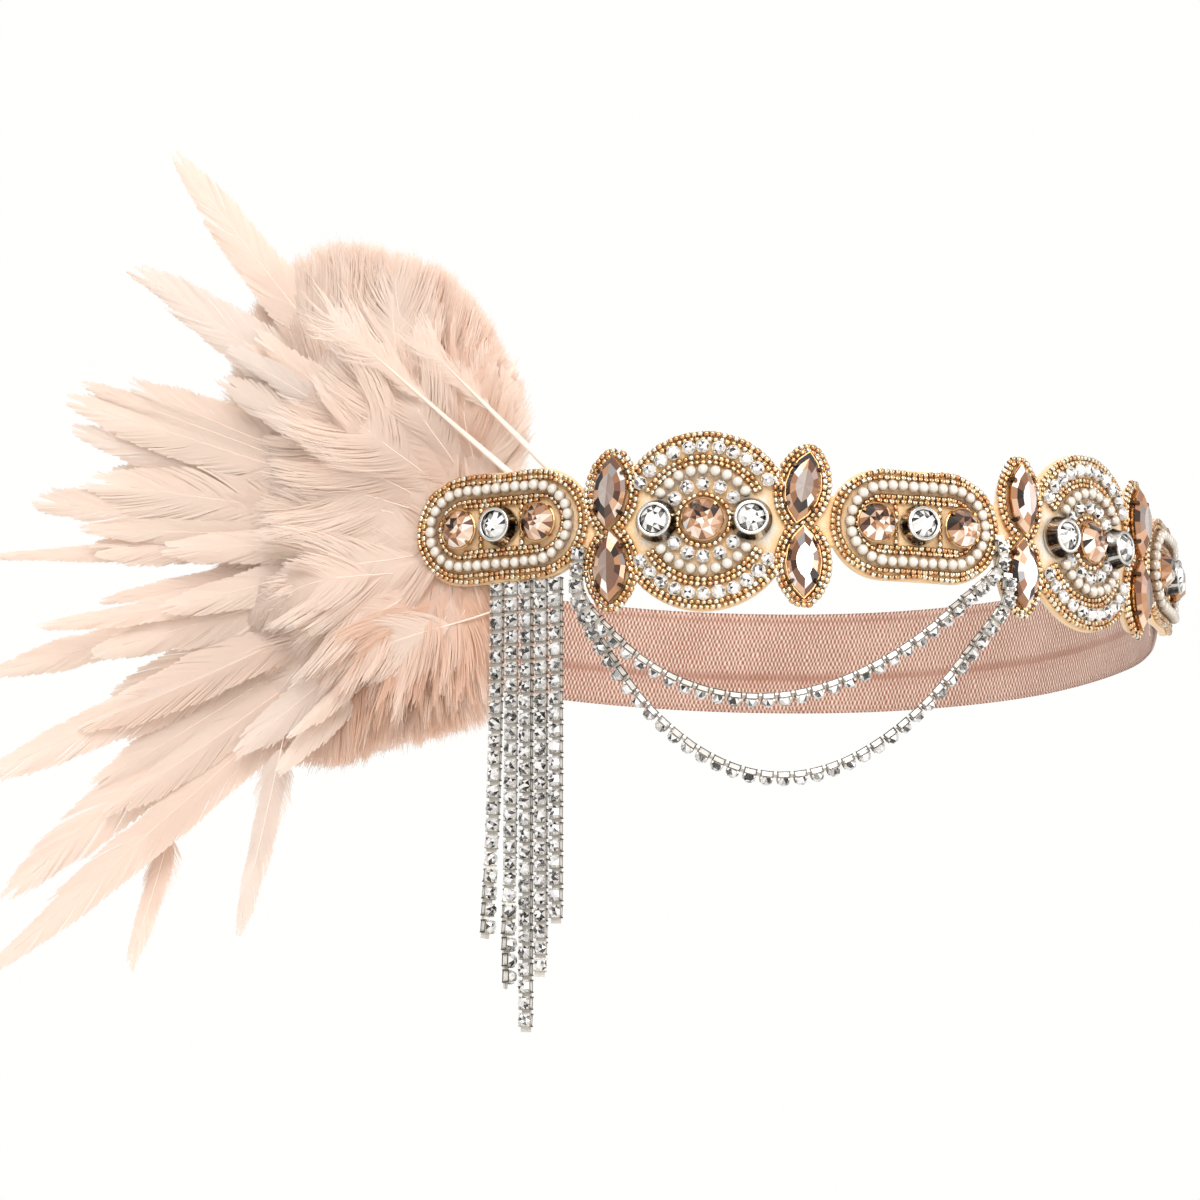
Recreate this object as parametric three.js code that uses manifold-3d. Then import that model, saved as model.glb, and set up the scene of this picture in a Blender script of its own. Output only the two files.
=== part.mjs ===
// A feather headpiece: an elastic loop with a beaded front strip, a side plume, a chain fringe and two swags.
// Millimetres, +Z up. The origin is the centre of the head ring, and the front of the head faces -Y.
// A place on the ring is (along, height, out): the distance round it from the middle of the front towards +X,
// the height over its plane, and the distance outwards from the face of the strip.
import * as THREE from "three";
import { ConvexGeometry } from "three/addons/geometries/ConvexGeometry.js";
import { mergeVertices } from "three/addons/utils/BufferGeometryUtils.js";
import Module from "manifold-3d";

const wasm = await Module();
wasm.setup();

// Driving dimensions

// The ring is round, apart from the stretch under the plume's oval, which lies flat.
const ring = { radius: 86, flatFrom: -76, gap: 0.3 };
const felt = { thickness: 1.6, neckHalf: 5, stations: 100 };
const elastic = { width: 22, endWidth: 17, taper: 0.06, thickness: 1.5, dip: 2.8, dipShare: 0.55, stations: 54 };
const oval = { halfLength: 18, halfHeight: 10.9, stoneSpacing: 8.9, pearlInset: 4, pearlRise: 7.4 };
const round = { outline: 17.6, bezelSpacing: 9.1 };
const pair = { halfWidth: 5.4, halfHeight: 14.7, stoneRise: 7.3 };
const navette = { halfLength: 6.9, halfWidth: 3.4 };
const pearl = { radius: 1.1 };
const crystal = { radius: 1.2 };
const chain = { radius: 1.3 };

// The strings of a round motif: arcs above and below its centre.
const arcs = [
  { name: "crystals_inner", radius: 7.1, halfSpan: 52, wire: crystal.radius },
  { name: "pearls", radius: 9.75, halfSpan: 56, wire: pearl.radius },
  { name: "crystals_outer", radius: 14.4, halfSpan: 58, wire: crystal.radius },
];

// The motifs of the strip, from the plume's side to the far side. Lean turns the upper stone of a pair.
const motifs = [
  { name: "oval_a", kind: "oval", along: -84.2, rise: 1.3, halfLength: 19.4 },
  { name: "a", kind: "pair", along: -60.4, rise: -1.2, lean: -6 },
  { name: "round_a", kind: "round", along: -42.2, rise: 0 },
  { name: "b", kind: "pair", along: -23.2, rise: -1, lean: -11 },
  { name: "oval_b", kind: "oval", along: -0.2, rise: -0.2, halfLength: oval.halfLength },
  { name: "c", kind: "pair", along: 23.2, rise: -0.5, lean: 5 },
  { name: "round_b", kind: "round", along: 42.4, rise: 0.6 },
  { name: "d", kind: "pair", along: 61.6, rise: 0, lean: 4 },
  { name: "oval_c", kind: "oval", along: 84.2, rise: 0, halfLength: oval.halfLength },
];
const plumeOval = motifs[0];
const farOval = motifs[motifs.length - 1];

// Where the elastic runs between its two sewn ends: an angle round from the front, and a distance from the centre.
const elasticRoute = [
  { turn: 84, reach: 83.4 },
  { turn: 112, reach: 83.5 },
  { turn: 140, reach: 83.8 },
  { turn: 168, reach: 84.2 },
  { turn: 196, reach: 85 },
  { turn: 222, reach: 86.4 },
  { turn: 248, reach: 87.8 },
  { turn: 272, reach: 88.2 },
];
// How far under the strip's face the middle of the elastic is sewn: below the felt, and below the plume's pad.
const elasticUnderFelt = 2.65;
const elasticUnderPad = 4.6;

const fringe = { first: -1.7, pitch: 3.3, lengths: [68, 78, 86.5, 76, 66], lean: [-1.8, -0.5, 0, 0, 0] };

// Each swag hangs from two places on the ring: it is sewn at top, runs straight down to end and hangs from there.
// The drop is that of its lowest point below the line between the two ends, and skew moves that point to the left.
const swags = [
  {
    name: "swag_upper",
    left: { along: -66.6, top: -3, end: -13.6, out: 1.8 },
    right: { along: 17.6, top: -3, end: -6.8, out: 1.8 },
    drop: 23,
    skew: 0.88,
  },
  {
    name: "swag_lower",
    left: { along: -68.2, top: -8.2, end: -14, out: -1.1 },
    right: { along: 18.8, top: -10.4, end: -13.2, out: 2.4 },
    drop: 35,
    skew: 0.92,
  },
];

// The plume is set in the plane of the flat stretch: u runs away from the front, v up and n outwards.
// An angle is measured from u towards v.
const plume = { along: -91, inset: 2.7, padLength: 16, padHeight: 13, padOut: 0.8, padIn: 0.7 };

// The long hackle feathers. Sweep bends a tip within the plane, and curl bends it outwards.
const hackles = [
  { angle: 57, length: 102, width: 8.5, sweep: -10, curl: 14 },
  { angle: 48, length: 73, width: 6, sweep: -6, curl: 18 },
  { angle: 43, length: 94, width: 8, sweep: -8, curl: 10 },
  { angle: 28, length: 94, width: 9, sweep: -6, curl: 12 },
  { angle: 16, length: 97, width: 9, sweep: 3, curl: 8 },
  { angle: 6, length: 96, width: 8.5, sweep: 4, curl: 12 },
  { angle: -2, length: 107, width: 8, sweep: 5, curl: 10 },
  { angle: -13, length: 91, width: 7, sweep: 4, curl: 16 },
  { angle: -14, length: 111, width: 9, sweep: 1, curl: 8 },
  { angle: -22, length: 111, width: 9.5, sweep: -1, curl: 14 },
  { angle: -33, length: 124, width: 9, sweep: -4, curl: 10 },
  { angle: -38, length: 130, width: 9, sweep: -3, curl: 16 },
  { angle: -44, length: 111, width: 8.5, sweep: -2, curl: 12 },
  { angle: -53, length: 90, width: 7.5, sweep: -4, curl: 8 },
  { angle: -58, length: 70, width: 6, sweep: 3, curl: 14 },
];

// The downy lower halves of the feathers, as soft locks that overlap round the oval.
const locks = [
  { angle: 112, length: 31, width: 8, bulge: 5 },
  { angle: 92, length: 45, width: 11, bulge: 7 },
  { angle: 74, length: 60, width: 13, bulge: 9 },
  { angle: 58, length: 70, width: 14, bulge: 10 },
  { angle: 40, length: 70, width: 15, bulge: 11 },
  { angle: 21, length: 67, width: 15, bulge: 12 },
  { angle: 2, length: 65, width: 15, bulge: 12 },
  { angle: -17, length: 67, width: 15, bulge: 12 },
  { angle: -35, length: 67, width: 14, bulge: 11 },
  { angle: -52, length: 58, width: 12, bulge: 9 },
  { angle: -69, length: 45, width: 9, bulge: 7 },
];

const finish = {
  elastic: { color: 0xd7a596, roughness: 0.85, metalness: 0 },
  felt: { color: 0xfaf0e1, roughness: 0.95, metalness: 0 },
  feather: { color: 0xf6dbca, roughness: 0.8, metalness: 0 },
  champagne: { color: 0xbe8c6e, roughness: 0.12, metalness: 0.3 },
  bezel: { color: 0xb9b6b0, roughness: 0.25, metalness: 0.9 },
  pearl: { color: 0xf5ebdc, roughness: 0.3, metalness: 0 },
  crystal: { color: 0xe9e7e4, roughness: 0.1, metalness: 0.4 },
  chain: { color: 0xd8d8da, roughness: 0.2, metalness: 0.9 },
};

// Places on the ring

const up = new THREE.Vector3(0, 0, 1);

function outward(along) {
  const angle = Math.max(along, ring.flatFrom) / ring.radius;
  return new THREE.Vector3(Math.sin(angle), -Math.cos(angle), 0);
}

function onward(along) {
  return new THREE.Vector3().crossVectors(up, outward(along));
}

function onRing(along, height, out) {
  const pastBend = Math.min(0, along - ring.flatFrom);
  return outward(along)
    .multiplyScalar(ring.radius + out)
    .addScaledVector(onward(along), pastBend)
    .setZ(height);
}

const part = new THREE.Group();

function addMesh(name, geometry, look) {
  const mesh = new THREE.Mesh(geometry, new THREE.MeshStandardMaterial(finish[look]));
  mesh.name = name;
  part.add(mesh);
  return mesh;
}

// Seats a mesh modelled in the plane z = 0 on the strip's face: its x runs along the ring and its z outwards.
function seat(mesh, along, height, turn = 0) {
  const basis = new THREE.Matrix4().makeBasis(onward(along), up, outward(along));
  mesh.quaternion.setFromRotationMatrix(basis);
  mesh.rotateZ(THREE.MathUtils.degToRad(turn));
  mesh.position.copy(onRing(along, height, ring.gap));
}

// Solids from sections

// A closed solid through equal rings of points, whichever way round the rings run.
function loft(sections) {
  const sides = sections[0].length;
  const points = sections.flat();
  const faces = [];
  for (let i = 0; i + 1 < sections.length; i++) {
    for (let j = 0; j < sides; j++) {
      const a = i * sides + j;
      const b = i * sides + ((j + 1) % sides);
      faces.push([a, b, b + sides], [a, b + sides, a + sides]);
    }
  }
  const last = points.length - sides;
  for (let j = 1; j + 1 < sides; j++) {
    faces.push([0, j + 1, j], [last, last + j, last + j + 1]);
  }
  const volume = faces.reduce((sum, [a, b, c]) => {
    const cross = new THREE.Vector3().crossVectors(points[b], points[c]);
    return sum + points[a].dot(cross);
  }, 0);
  const outside = volume > 0 ? faces : faces.map(([a, b, c]) => [a, c, b]);
  return new THREE.BufferGeometry().setFromPoints(points).setIndex(outside.flat());
}

function toSolid(geometry) {
  const bare = geometry.clone();
  bare.deleteAttribute("normal");
  bare.deleteAttribute("uv");
  const merged = mergeVertices(bare, 1e-3);
  return new wasm.Manifold(
    new wasm.Mesh({
      numProp: 3,
      vertProperties: new Float32Array(merged.attributes.position.array),
      triVerts: new Uint32Array(merged.index.array),
    }),
  );
}

// One outer shell of everything given, with no pocket closed in between the pieces.
function fuse(geometries) {
  const whole = geometries.map(toSolid).reduce((sum, piece) => sum.add(piece));
  const shells = whole.decompose().sort((a, b) => b.volume() - a.volume());
  const mesh = shells[0].getMesh();
  return new THREE.BufferGeometry()
    .setAttribute("position", new THREE.BufferAttribute(mesh.vertProperties, 3))
    .setIndex(new THREE.BufferAttribute(mesh.triVerts, 1));
}

// A round bar along a smooth open path, with closed ends.
function bar(points, radius, steps, sides = 8) {
  const section = new THREE.Shape().absarc(0, 0, radius, 0, 2 * Math.PI);
  return new THREE.ExtrudeGeometry(section, {
    steps,
    curveSegments: sides / 2,
    extrudePath: new THREE.CatmullRomCurve3(points),
  });
}

// The felt backing

function stadiumHalf(x, halfLength, halfHeight) {
  const past = Math.max(0, Math.abs(x) - (halfLength - halfHeight));
  return Math.sqrt(Math.max(0, halfHeight ** 2 - past ** 2));
}

const outlineHalf = {
  oval: (x, motif) => stadiumHalf(x, motif.halfLength, oval.halfHeight),
  round: (x) => stadiumHalf(x, round.outline, round.outline),
  pair: (x) => pair.halfHeight * Math.max(0, 1 - (Math.abs(x) / pair.halfWidth) ** 2.4) ** (1 / 2.4),
};

// The lower and upper edge of the felt at a place along it: the widest motif there, or the neck between two.
function feltEdges(along) {
  const atEnd = along < plumeOval.along || along > farOval.along;
  const spans = atEnd ? [] : [[-felt.neckHalf, felt.neckHalf]];
  for (const motif of motifs) {
    const half = outlineHalf[motif.kind](along - motif.along, motif);
    if (half > 0) spans.push([motif.rise - half, motif.rise + half]);
  }
  return [Math.min(...spans.map(([low]) => low)), Math.max(...spans.map(([, high]) => high))];
}

function feltSection(along) {
  const [low, high] = feltEdges(along);
  return [
    onRing(along, low, -felt.thickness),
    onRing(along, low, 0),
    onRing(along, high, 0),
    onRing(along, high, -felt.thickness),
  ];
}

const feltStart = plumeOval.along - plumeOval.halfLength + 0.1;
const feltLength = farOval.along + farOval.halfLength - 0.1 - feltStart;
const feltSections = [];
for (let i = 0; i <= felt.stations; i++) {
  // stations crowd towards the round ends
  const share = i / felt.stations;
  feltSections.push(feltSection(feltStart + feltLength * (share - 0.03 * Math.sin(2 * Math.PI * share))));
}
addMesh("backing", loft(feltSections), "felt");

// The elastic loop, round the back from the far oval to the plume's oval

const elasticPath = new THREE.CatmullRomCurve3([
  onRing(farOval.along, 0, -elasticUnderFelt),
  onRing(farOval.along + 16, 0, -elasticUnderFelt),
  ...elasticRoute.map(({ turn, reach }) => {
    const angle = THREE.MathUtils.degToRad(turn);
    return new THREE.Vector3(reach * Math.sin(angle), -reach * Math.cos(angle), 0);
  }),
  onRing(plumeOval.along - 15, 0, -elasticUnderPad),
  onRing(plumeOval.along, 0, -elasticUnderPad),
]);

function elasticSection(share) {
  const fromEnd = Math.min(1, Math.min(share, 1 - share) / elastic.taper);
  const half = THREE.MathUtils.lerp(elastic.endWidth, elastic.width, fromEnd) / 2;
  const seatRise = plumeOval.rise * THREE.MathUtils.smoothstep(share, 0.7, 1);
  const middle = seatRise - elastic.dip * Math.sin(Math.PI * Math.min(1, share / elastic.dipShare));
  const point = elasticPath.getPointAt(share);
  const out = elasticPath.getTangentAt(share).cross(up).multiplyScalar(elastic.thickness / 2);
  const inner = point.clone().sub(out);
  const outer = point.clone().add(out);
  return [
    inner.clone().setZ(middle - half),
    outer.clone().setZ(middle - half),
    outer.clone().setZ(middle + half),
    inner.clone().setZ(middle + half),
  ];
}

const elasticSections = [];
for (let i = 0; i <= elastic.stations; i++) {
  elasticSections.push(elasticSection(i / elastic.stations));
}
addMesh("elastic_band", loft(elasticSections), "elastic");

// Stones in their settings, modelled in the plane z = 0

function circlePoints(radius, sides, height, turn = 0) {
  return Array.from({ length: sides }, (_, i) => {
    const angle = (2 * Math.PI * (i + turn)) / sides;
    return new THREE.Vector3(radius * Math.cos(angle), radius * Math.sin(angle), height);
  });
}

// A stone with an eight-sided table, star and kite facets, and a pavilion below its girdle.
function cutStone(radius, girdle, top) {
  return new ConvexGeometry([
    ...circlePoints(radius * 0.6, 8, 0.2),
    ...circlePoints(radius, 16, girdle, 0.5),
    ...circlePoints(radius * 0.58, 8, top),
  ]);
}

function lathe(profile, sides) {
  const points = profile.map(([radius, height]) => new THREE.Vector2(radius, height));
  return new THREE.LatheGeometry(points, sides).rotateX(Math.PI / 2);
}

function roundStone(radius) {
  const cup = radius + 0.35;
  const setting = lathe([[0, 0], [cup - 0.4, 0], [cup, 1.7], [0, 1.7]], 16);
  return fuse([setting, cutStone(radius, 1.9, 3.6)]);
}

function bezelStone(radius) {
  const rim = radius + 1;
  const setting = lathe(
    [[0, 0], [rim - 0.2, 0], [rim, 2.6], [rim - 0.3, 3.4], [radius, 3.1], [radius, 2.7], [0, 2.7]],
    12,
  );
  return fuse([setting, cutStone(radius + 0.1, 2.7, 4.2)]);
}

// A pointed oval of two equal arcs.
function navettePoints(scale, height, perSide) {
  const { halfLength, halfWidth } = navette;
  const arcRadius = (halfLength ** 2 + halfWidth ** 2) / (2 * halfWidth);
  const reach = Math.asin(halfLength / arcRadius);
  const points = [];
  for (const side of [1, -1]) {
    for (let i = 0; i < perSide; i++) {
      const angle = side * reach * ((2 * i) / perSide - 1);
      const across = arcRadius * Math.cos(angle) - (arcRadius - halfWidth);
      points.push(new THREE.Vector3(side * across * scale, arcRadius * Math.sin(angle) * scale, height));
    }
  }
  return points;
}

function navetteStone() {
  const setting = new ConvexGeometry([...navettePoints(0.98, 0, 5), ...navettePoints(1.03, 1.2, 5)]);
  const stone = new ConvexGeometry([
    ...navettePoints(0.8, 0.2, 5),
    ...navettePoints(1, 1.6, 5),
    ...navettePoints(0.52, 3.2, 4),
  ]);
  const claws = [-1, 1].flatMap((x) =>
    [-1, 1].map((y) => {
      const claw = new THREE.BoxGeometry(0.8, 0.8, 2);
      return claw.translate(x * navette.halfWidth * 0.72, y * navette.halfLength * 0.55, 1.2);
    }),
  );
  return fuse([setting, stone, ...claws]);
}

// Strings of pearls and of small crystals, seated on the strip

function pearlOval(motif) {
  const path = new THREE.Curve();
  const straight = motif.halfLength - oval.pearlInset - oval.pearlRise;
  path.getPoint = (share) => {
    const angle = 2 * Math.PI * share;
    const side = Math.sign(Math.round(Math.cos(angle) * 1e6));
    const along = motif.along + oval.pearlRise * Math.cos(angle) + side * straight * Math.abs(Math.cos(angle)) ** 0.35;
    return onRing(along, motif.rise + oval.pearlRise * Math.sin(angle), ring.gap + pearl.radius);
  };
  return new THREE.TubeGeometry(path, 30, pearl.radius, 6, true);
}

function stringArc(motif, arc, side) {
  const points = [];
  const steps = 8;
  for (let i = 0; i <= steps; i++) {
    const angle = THREE.MathUtils.degToRad(arc.halfSpan * ((2 * i) / steps - 1));
    const along = motif.along + arc.radius * Math.sin(angle);
    points.push(onRing(along, motif.rise + side * arc.radius * Math.cos(angle), ring.gap + arc.wire));
  }
  return bar(points, arc.wire, steps);
}

function addOval(motif) {
  for (const [place, side] of [["left", -1], ["right", 1]]) {
    const stone = addMesh(`stone_${motif.name}_${place}`, roundStone(3.65), "champagne");
    seat(stone, motif.along + side * oval.stoneSpacing, motif.rise);
  }
  seat(addMesh(`bezel_${motif.name}`, bezelStone(2.7), "bezel"), motif.along, motif.rise);
  addMesh(`pearls_${motif.name}`, pearlOval(motif), "pearl");
}

function addRound(motif) {
  seat(addMesh(`stone_${motif.name}`, roundStone(3.95), "champagne"), motif.along, motif.rise);
  for (const [place, side] of [["left", -1], ["right", 1]]) {
    const bezel = addMesh(`bezel_${motif.name}_${place}`, bezelStone(2.9), "bezel");
    seat(bezel, motif.along + side * round.bezelSpacing, motif.rise);
  }
  for (const arc of arcs) {
    for (const [place, side] of [["top", 1], ["bottom", -1]]) {
      const look = arc.name === "pearls" ? "pearl" : "crystal";
      addMesh(`${arc.name}_${motif.name}_${place}`, stringArc(motif, arc, side), look);
    }
  }
}

function addPair(motif) {
  for (const [place, side] of [["top", 1], ["bottom", -1]]) {
    const stone = addMesh(`navette_${motif.name}_${place}`, navetteStone(), "champagne");
    const lean = side > 0 ? motif.lean : 0;
    seat(stone, motif.along, motif.rise + side * pair.stoneRise, lean);
  }
}

const addMotif = { oval: addOval, round: addRound, pair: addPair };
for (const motif of motifs) {
  addMotif[motif.kind](motif);
}

// The fringe hangs from the lower edge of the plume's oval

fringe.lengths.forEach((length, i) => {
  const along = plumeOval.along + fringe.first + fringe.pitch * i;
  const lowest = [-1, 0, 1].map((side) => feltEdges(along + side * chain.radius)[0]);
  const top = Math.min(...lowest) - ring.gap;
  const points = [];
  for (let j = 0; j <= 4; j++) {
    const share = j / 4;
    points.push(onRing(along + fringe.lean[i] * share ** 2, top - length * share, -felt.thickness / 2));
  }
  addMesh(`fringe_${i + 1}`, bar(points, chain.radius, 4), "chain");
});

// The swags hang in a curve between their two places

for (const swag of swags) {
  const { left, right } = swag;
  const start = onRing(left.along, left.end, left.out);
  const finishPoint = onRing(right.along, right.end, right.out);
  const steps = 10;
  const points = [onRing(left.along, left.top, left.out)];
  for (let i = 0; i <= steps; i++) {
    const share = i / steps;
    const point = start.clone().lerp(finishPoint, share);
    const skewed = share ** swag.skew;
    point.z -= swag.drop * 4 * skewed * (1 - skewed);
    points.push(point);
  }
  points.push(onRing(right.along, right.top, right.out));
  addMesh(swag.name, bar(points, chain.radius, 22), "chain");
}

// The plume: locks and hackles fused to a sewn pad

const plumeOut = outward(plume.along);
const plumeAway = new THREE.Vector3().crossVectors(plumeOut, up);
const plumeRoot = onRing(plume.along, plumeOval.rise, -plume.inset);

function inPlume(u, v, n) {
  return plumeRoot
    .clone()
    .addScaledVector(plumeAway, u)
    .addScaledVector(up, v)
    .addScaledVector(plumeOut, n);
}

// A point at a share of a feather's length, shifted across it and outwards.
function onFeather(feather, share, across, out) {
  const angle = THREE.MathUtils.degToRad(feather.angle);
  const run = feather.length * share;
  const side = across + (feather.sweep ?? 0) * share ** 2;
  const u = run * Math.cos(angle) - side * Math.sin(angle);
  const v = run * Math.sin(angle) + side * Math.cos(angle);
  return inPlume(u, v, out + (feather.curl ?? 0) * share ** 2);
}

function hackleSolid(feather) {
  const sections = [0, 0.15, 0.45, 0.7, 0.9, 1].map((share) => {
    const half = 0.3 + (feather.width / 2) * Math.sin(Math.PI * Math.min(1, share ** 1.3 * 0.94 + 0.04));
    const thick = 0.4;
    return [
      onFeather(feather, share, half, 0),
      onFeather(feather, share, 0, thick),
      onFeather(feather, share, -half, 0),
      onFeather(feather, share, 0, -thick),
    ];
  });
  return loft(sections);
}

// A lock stays thin behind the oval and swells outwards past the oval's edge.
function lockSolid(lock) {
  const sections = [0, 0.22, 0.42, 0.68, 0.9, 1].map((share) => {
    const swell = Math.sin(Math.PI * Math.min(1, 0.08 + 0.87 * share ** 0.9));
    const half = 1.5 + lock.width * swell;
    const rise = 0.4 + lock.bulge * swell * THREE.MathUtils.smoothstep(share * lock.length, 14, 34);
    return [
      onFeather(lock, share, half, 0),
      onFeather(lock, share, half * 0.5, rise),
      onFeather(lock, share, -half * 0.5, rise),
      onFeather(lock, share, -half, 0),
      onFeather(lock, share, 0, -0.4),
    ];
  });
  return loft(sections);
}

function padSolid() {
  const edge = [];
  for (let i = 0; i < 16; i++) {
    const angle = (2 * Math.PI * i) / 16;
    edge.push([(plume.padLength / 2) * Math.cos(angle), (plume.padHeight / 2) * Math.sin(angle)]);
  }
  return loft([-plume.padIn, plume.padOut].map((n) => edge.map(([u, v]) => inPlume(u, v, n))));
}

addMesh("feather_plume", fuse([padSolid(), ...locks.map(lockSolid), ...hackles.map(hackleSolid)]), "feather");

export default part;
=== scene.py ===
import math
from collections import namedtuple
import bpy
import numpy as np
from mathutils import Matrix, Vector
from mathutils.kdtree import KDTree


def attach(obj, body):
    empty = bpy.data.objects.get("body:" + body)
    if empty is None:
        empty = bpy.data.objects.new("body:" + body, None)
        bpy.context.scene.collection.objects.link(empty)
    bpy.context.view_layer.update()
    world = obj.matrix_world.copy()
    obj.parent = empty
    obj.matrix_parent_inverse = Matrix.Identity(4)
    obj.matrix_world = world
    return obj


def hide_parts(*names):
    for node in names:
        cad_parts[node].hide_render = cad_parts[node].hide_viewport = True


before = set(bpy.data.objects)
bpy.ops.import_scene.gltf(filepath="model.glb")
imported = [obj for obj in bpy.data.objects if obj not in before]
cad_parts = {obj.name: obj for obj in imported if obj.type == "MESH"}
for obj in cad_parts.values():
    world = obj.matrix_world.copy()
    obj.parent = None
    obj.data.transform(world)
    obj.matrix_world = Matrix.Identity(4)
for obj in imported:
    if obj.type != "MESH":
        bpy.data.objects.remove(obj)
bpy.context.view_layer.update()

mm = 0.001  # lengths below are millimetres, and meshes are written in metres
print("headpiece: frame loaded")


# Node boards: the same two classes write the shader trees and the geometry tree

class Sock:
    def __init__(self, board, socket):
        self.board = board
        self.socket = socket

    def maths(self, operation, first, second=0.0):
        return self.board.node("ShaderNodeMath", {"operation": operation}, {0: first, 1: second})

    def __add__(self, other):
        return self.maths("ADD", self, other)

    def __radd__(self, other):
        return self.maths("ADD", other, self)

    def __sub__(self, other):
        return self.maths("SUBTRACT", self, other)

    def __rsub__(self, other):
        return self.maths("SUBTRACT", other, self)

    def __mul__(self, other):
        return self.maths("MULTIPLY", self, other)

    def __rmul__(self, other):
        return self.maths("MULTIPLY", other, self)

    def __pow__(self, other):
        return self.maths("POWER", self, other)

    def sine(self):
        return self.maths("SINE", self)

    def floor(self):
        return self.maths("FLOOR", self)

    def kept(self):  # kept between 0 and 1
        return self.board.node("ShaderNodeClamp", {}, {"Value": self})

    def also(self, name):  # another output of the same node
        return Sock(self.board, self.socket.node.outputs[name])


class Board:
    def __init__(self, tree):
        self.tree = tree
        tree.nodes.clear()

    def node(self, kind, settings=None, values=None, out=0):
        node = self.tree.nodes.new(kind)
        for key, value in (settings or {}).items():
            if key == "stops":
                self.setStops(node.color_ramp, value)
            else:
                setattr(node, key, value)
        for key, value in (values or {}).items():
            if isinstance(value, Sock):
                self.tree.links.new(value.socket, node.inputs[key])
            else:
                node.inputs[key].default_value = value
        return Sock(self, node.outputs[out] if len(node.outputs) else None)

    def setStops(self, ramp, stops):
        while len(ramp.elements) < len(stops):
            ramp.elements.new(0.5)
        for element, (place, colour) in zip(ramp.elements, stops):
            element.position = place
            element.color = (*colour, 1.0)

    def attribute(self, name):
        return self.node("ShaderNodeAttribute", {"attribute_name": name}, out="Fac")

    def ramp(self, value, stops):
        return self.node("ShaderNodeValToRGB", {"stops": stops}, {"Fac": value})

    def mix(self, first, second, share):
        first, second = (c if isinstance(c, Sock) else (*c, 1.0) for c in (first, second))
        return self.node("ShaderNodeMix", {"data_type": "RGBA"}, {0: share, 6: first, 7: second}, out=2)

    def noise(self, place, scale, detail=2.0):
        return self.node("ShaderNodeTexNoise", {}, {"Vector": place, "Scale": scale, "Detail": detail})

    def place(self):
        return self.node("ShaderNodeTexCoord", out="Object")

    def bump(self, height, distance, strength):
        values = {"Height": height, "Distance": distance, "Strength": strength}
        return self.node("ShaderNodeBump", {}, values)


def hue(*levels):  # an 8-bit screen colour as linear light
    shares = [level / 255 for level in levels]
    return tuple(s / 12.92 if s < 0.04045 else ((s + 0.055) / 1.055) ** 2.4 for s in shares)


def newFinish(name, paint, look):
    material = bpy.data.materials.new(name)
    material.use_nodes = True
    board = Board(material.node_tree)
    surface = board.node("ShaderNodeBsdfPrincipled", {}, {**look["shader"], **paint(board, look)})
    if "through" in look:  # light that comes through thin barbs
        behind = board.node("ShaderNodeBsdfTranslucent", {}, {"Color": (*look["through"], 1.0)})
        surface = board.node("ShaderNodeMixShader", {}, {0: look["throughShare"], 1: surface, 2: behind})
    board.node("ShaderNodeOutputMaterial", {}, {"Surface": surface})
    return material


# Finishes: each has its settings, and a function that paints what varies

featherLook = {
    "blush": hue(248, 227, 213), "warm": hue(250, 233, 220), "pale": hue(253, 243, 234),
    # the first colour on the next line is painted shade, for the feathers' roots and the lower and upper
    # down; it also makes the vanes a little darker
    "crease": hue(237, 198, 172), "grey": hue(236, 233, 231),
    "through": hue(253, 242, 233), "throughShare": 0.45,
    "warmth": 1.5, "leastWarmth": 0.1,
    "tipFade": 0.2, "edgeFade": 0.2, "streakFade": 0.2, "vaneFade": 0.38, "downFade": 0.15,
    "rootCrease": 0.3, "vaneCrease": 0.04, "greyFrom": 0.8, "greySlope": 5.0, "greyShare": 0.8,
    "shader": {"Roughness": 0.62, "Sheen Weight": 0.2, "Specular IOR Level": 0.3},
}


def featherPaint(board, look):
    tone = board.attribute("featherTone")  # below 0 it darkens with painted shade, and near 1 it greys
    barb = board.attribute("barbShare")
    stem = board.attribute("shaftShare")
    streak = board.attribute("barbTone")
    firm = board.attribute("vaneShare")  # 1 for a vane, 0 for down
    fade = stem * stem * look["tipFade"] + barb * look["edgeFade"] + streak * look["streakFade"]
    fade = fade + stem * firm * look["vaneFade"] + (1 - firm) * look["downFade"]
    # painted shade near the shafts and the feathers' roots, and where the tone is below 0; the vanes are a
    # little darker too
    crease = (1 - barb) * (1 - stem) * look["rootCrease"] + (0 - tone).kept() + firm * look["vaneCrease"]
    greyed = ((tone - look["greyFrom"]) * look["greySlope"]).kept()
    colour = board.mix(look["blush"], look["warm"], (tone * look["warmth"] + look["leastWarmth"]).kept())
    colour = board.mix(colour, look["pale"], fade.kept())
    colour = board.mix(colour, look["crease"], crease.kept())
    return {"Base Color": board.mix(colour, look["grey"], greyed * look["greyShare"])}


quillLook = {
    "pale": hue(254, 246, 234), "blush": hue(248, 226, 211),
    "grain": 900.0, "grainShare": 0.2, "stemShare": 3.2,
    "shader": {"Roughness": 0.45, "Coat Weight": 0.1},
}


def quillPaint(board, look):
    grain = board.noise(board.place(), look["grain"])
    share = board.attribute("shaftShare") * look["stemShare"] + grain * look["grainShare"]
    return {"Base Color": board.mix(look["pale"], look["blush"], share.kept())}


feltLook = {
    "light": hue(252, 244, 230), "deep": hue(238, 222, 198), "gold": hue(250, 206, 146),
    "fibre": (2400.0, 4.0), "cloud": 260.0, "cloudShare": 1.6, "cloudFrom": 0.5, "goldShare": 0.9,
    "roughness": 0.75, "roughSpread": 0.2, "bump": (0.0004, 0.6),
    "shader": {"Sheen Weight": 0.3},
}


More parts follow.
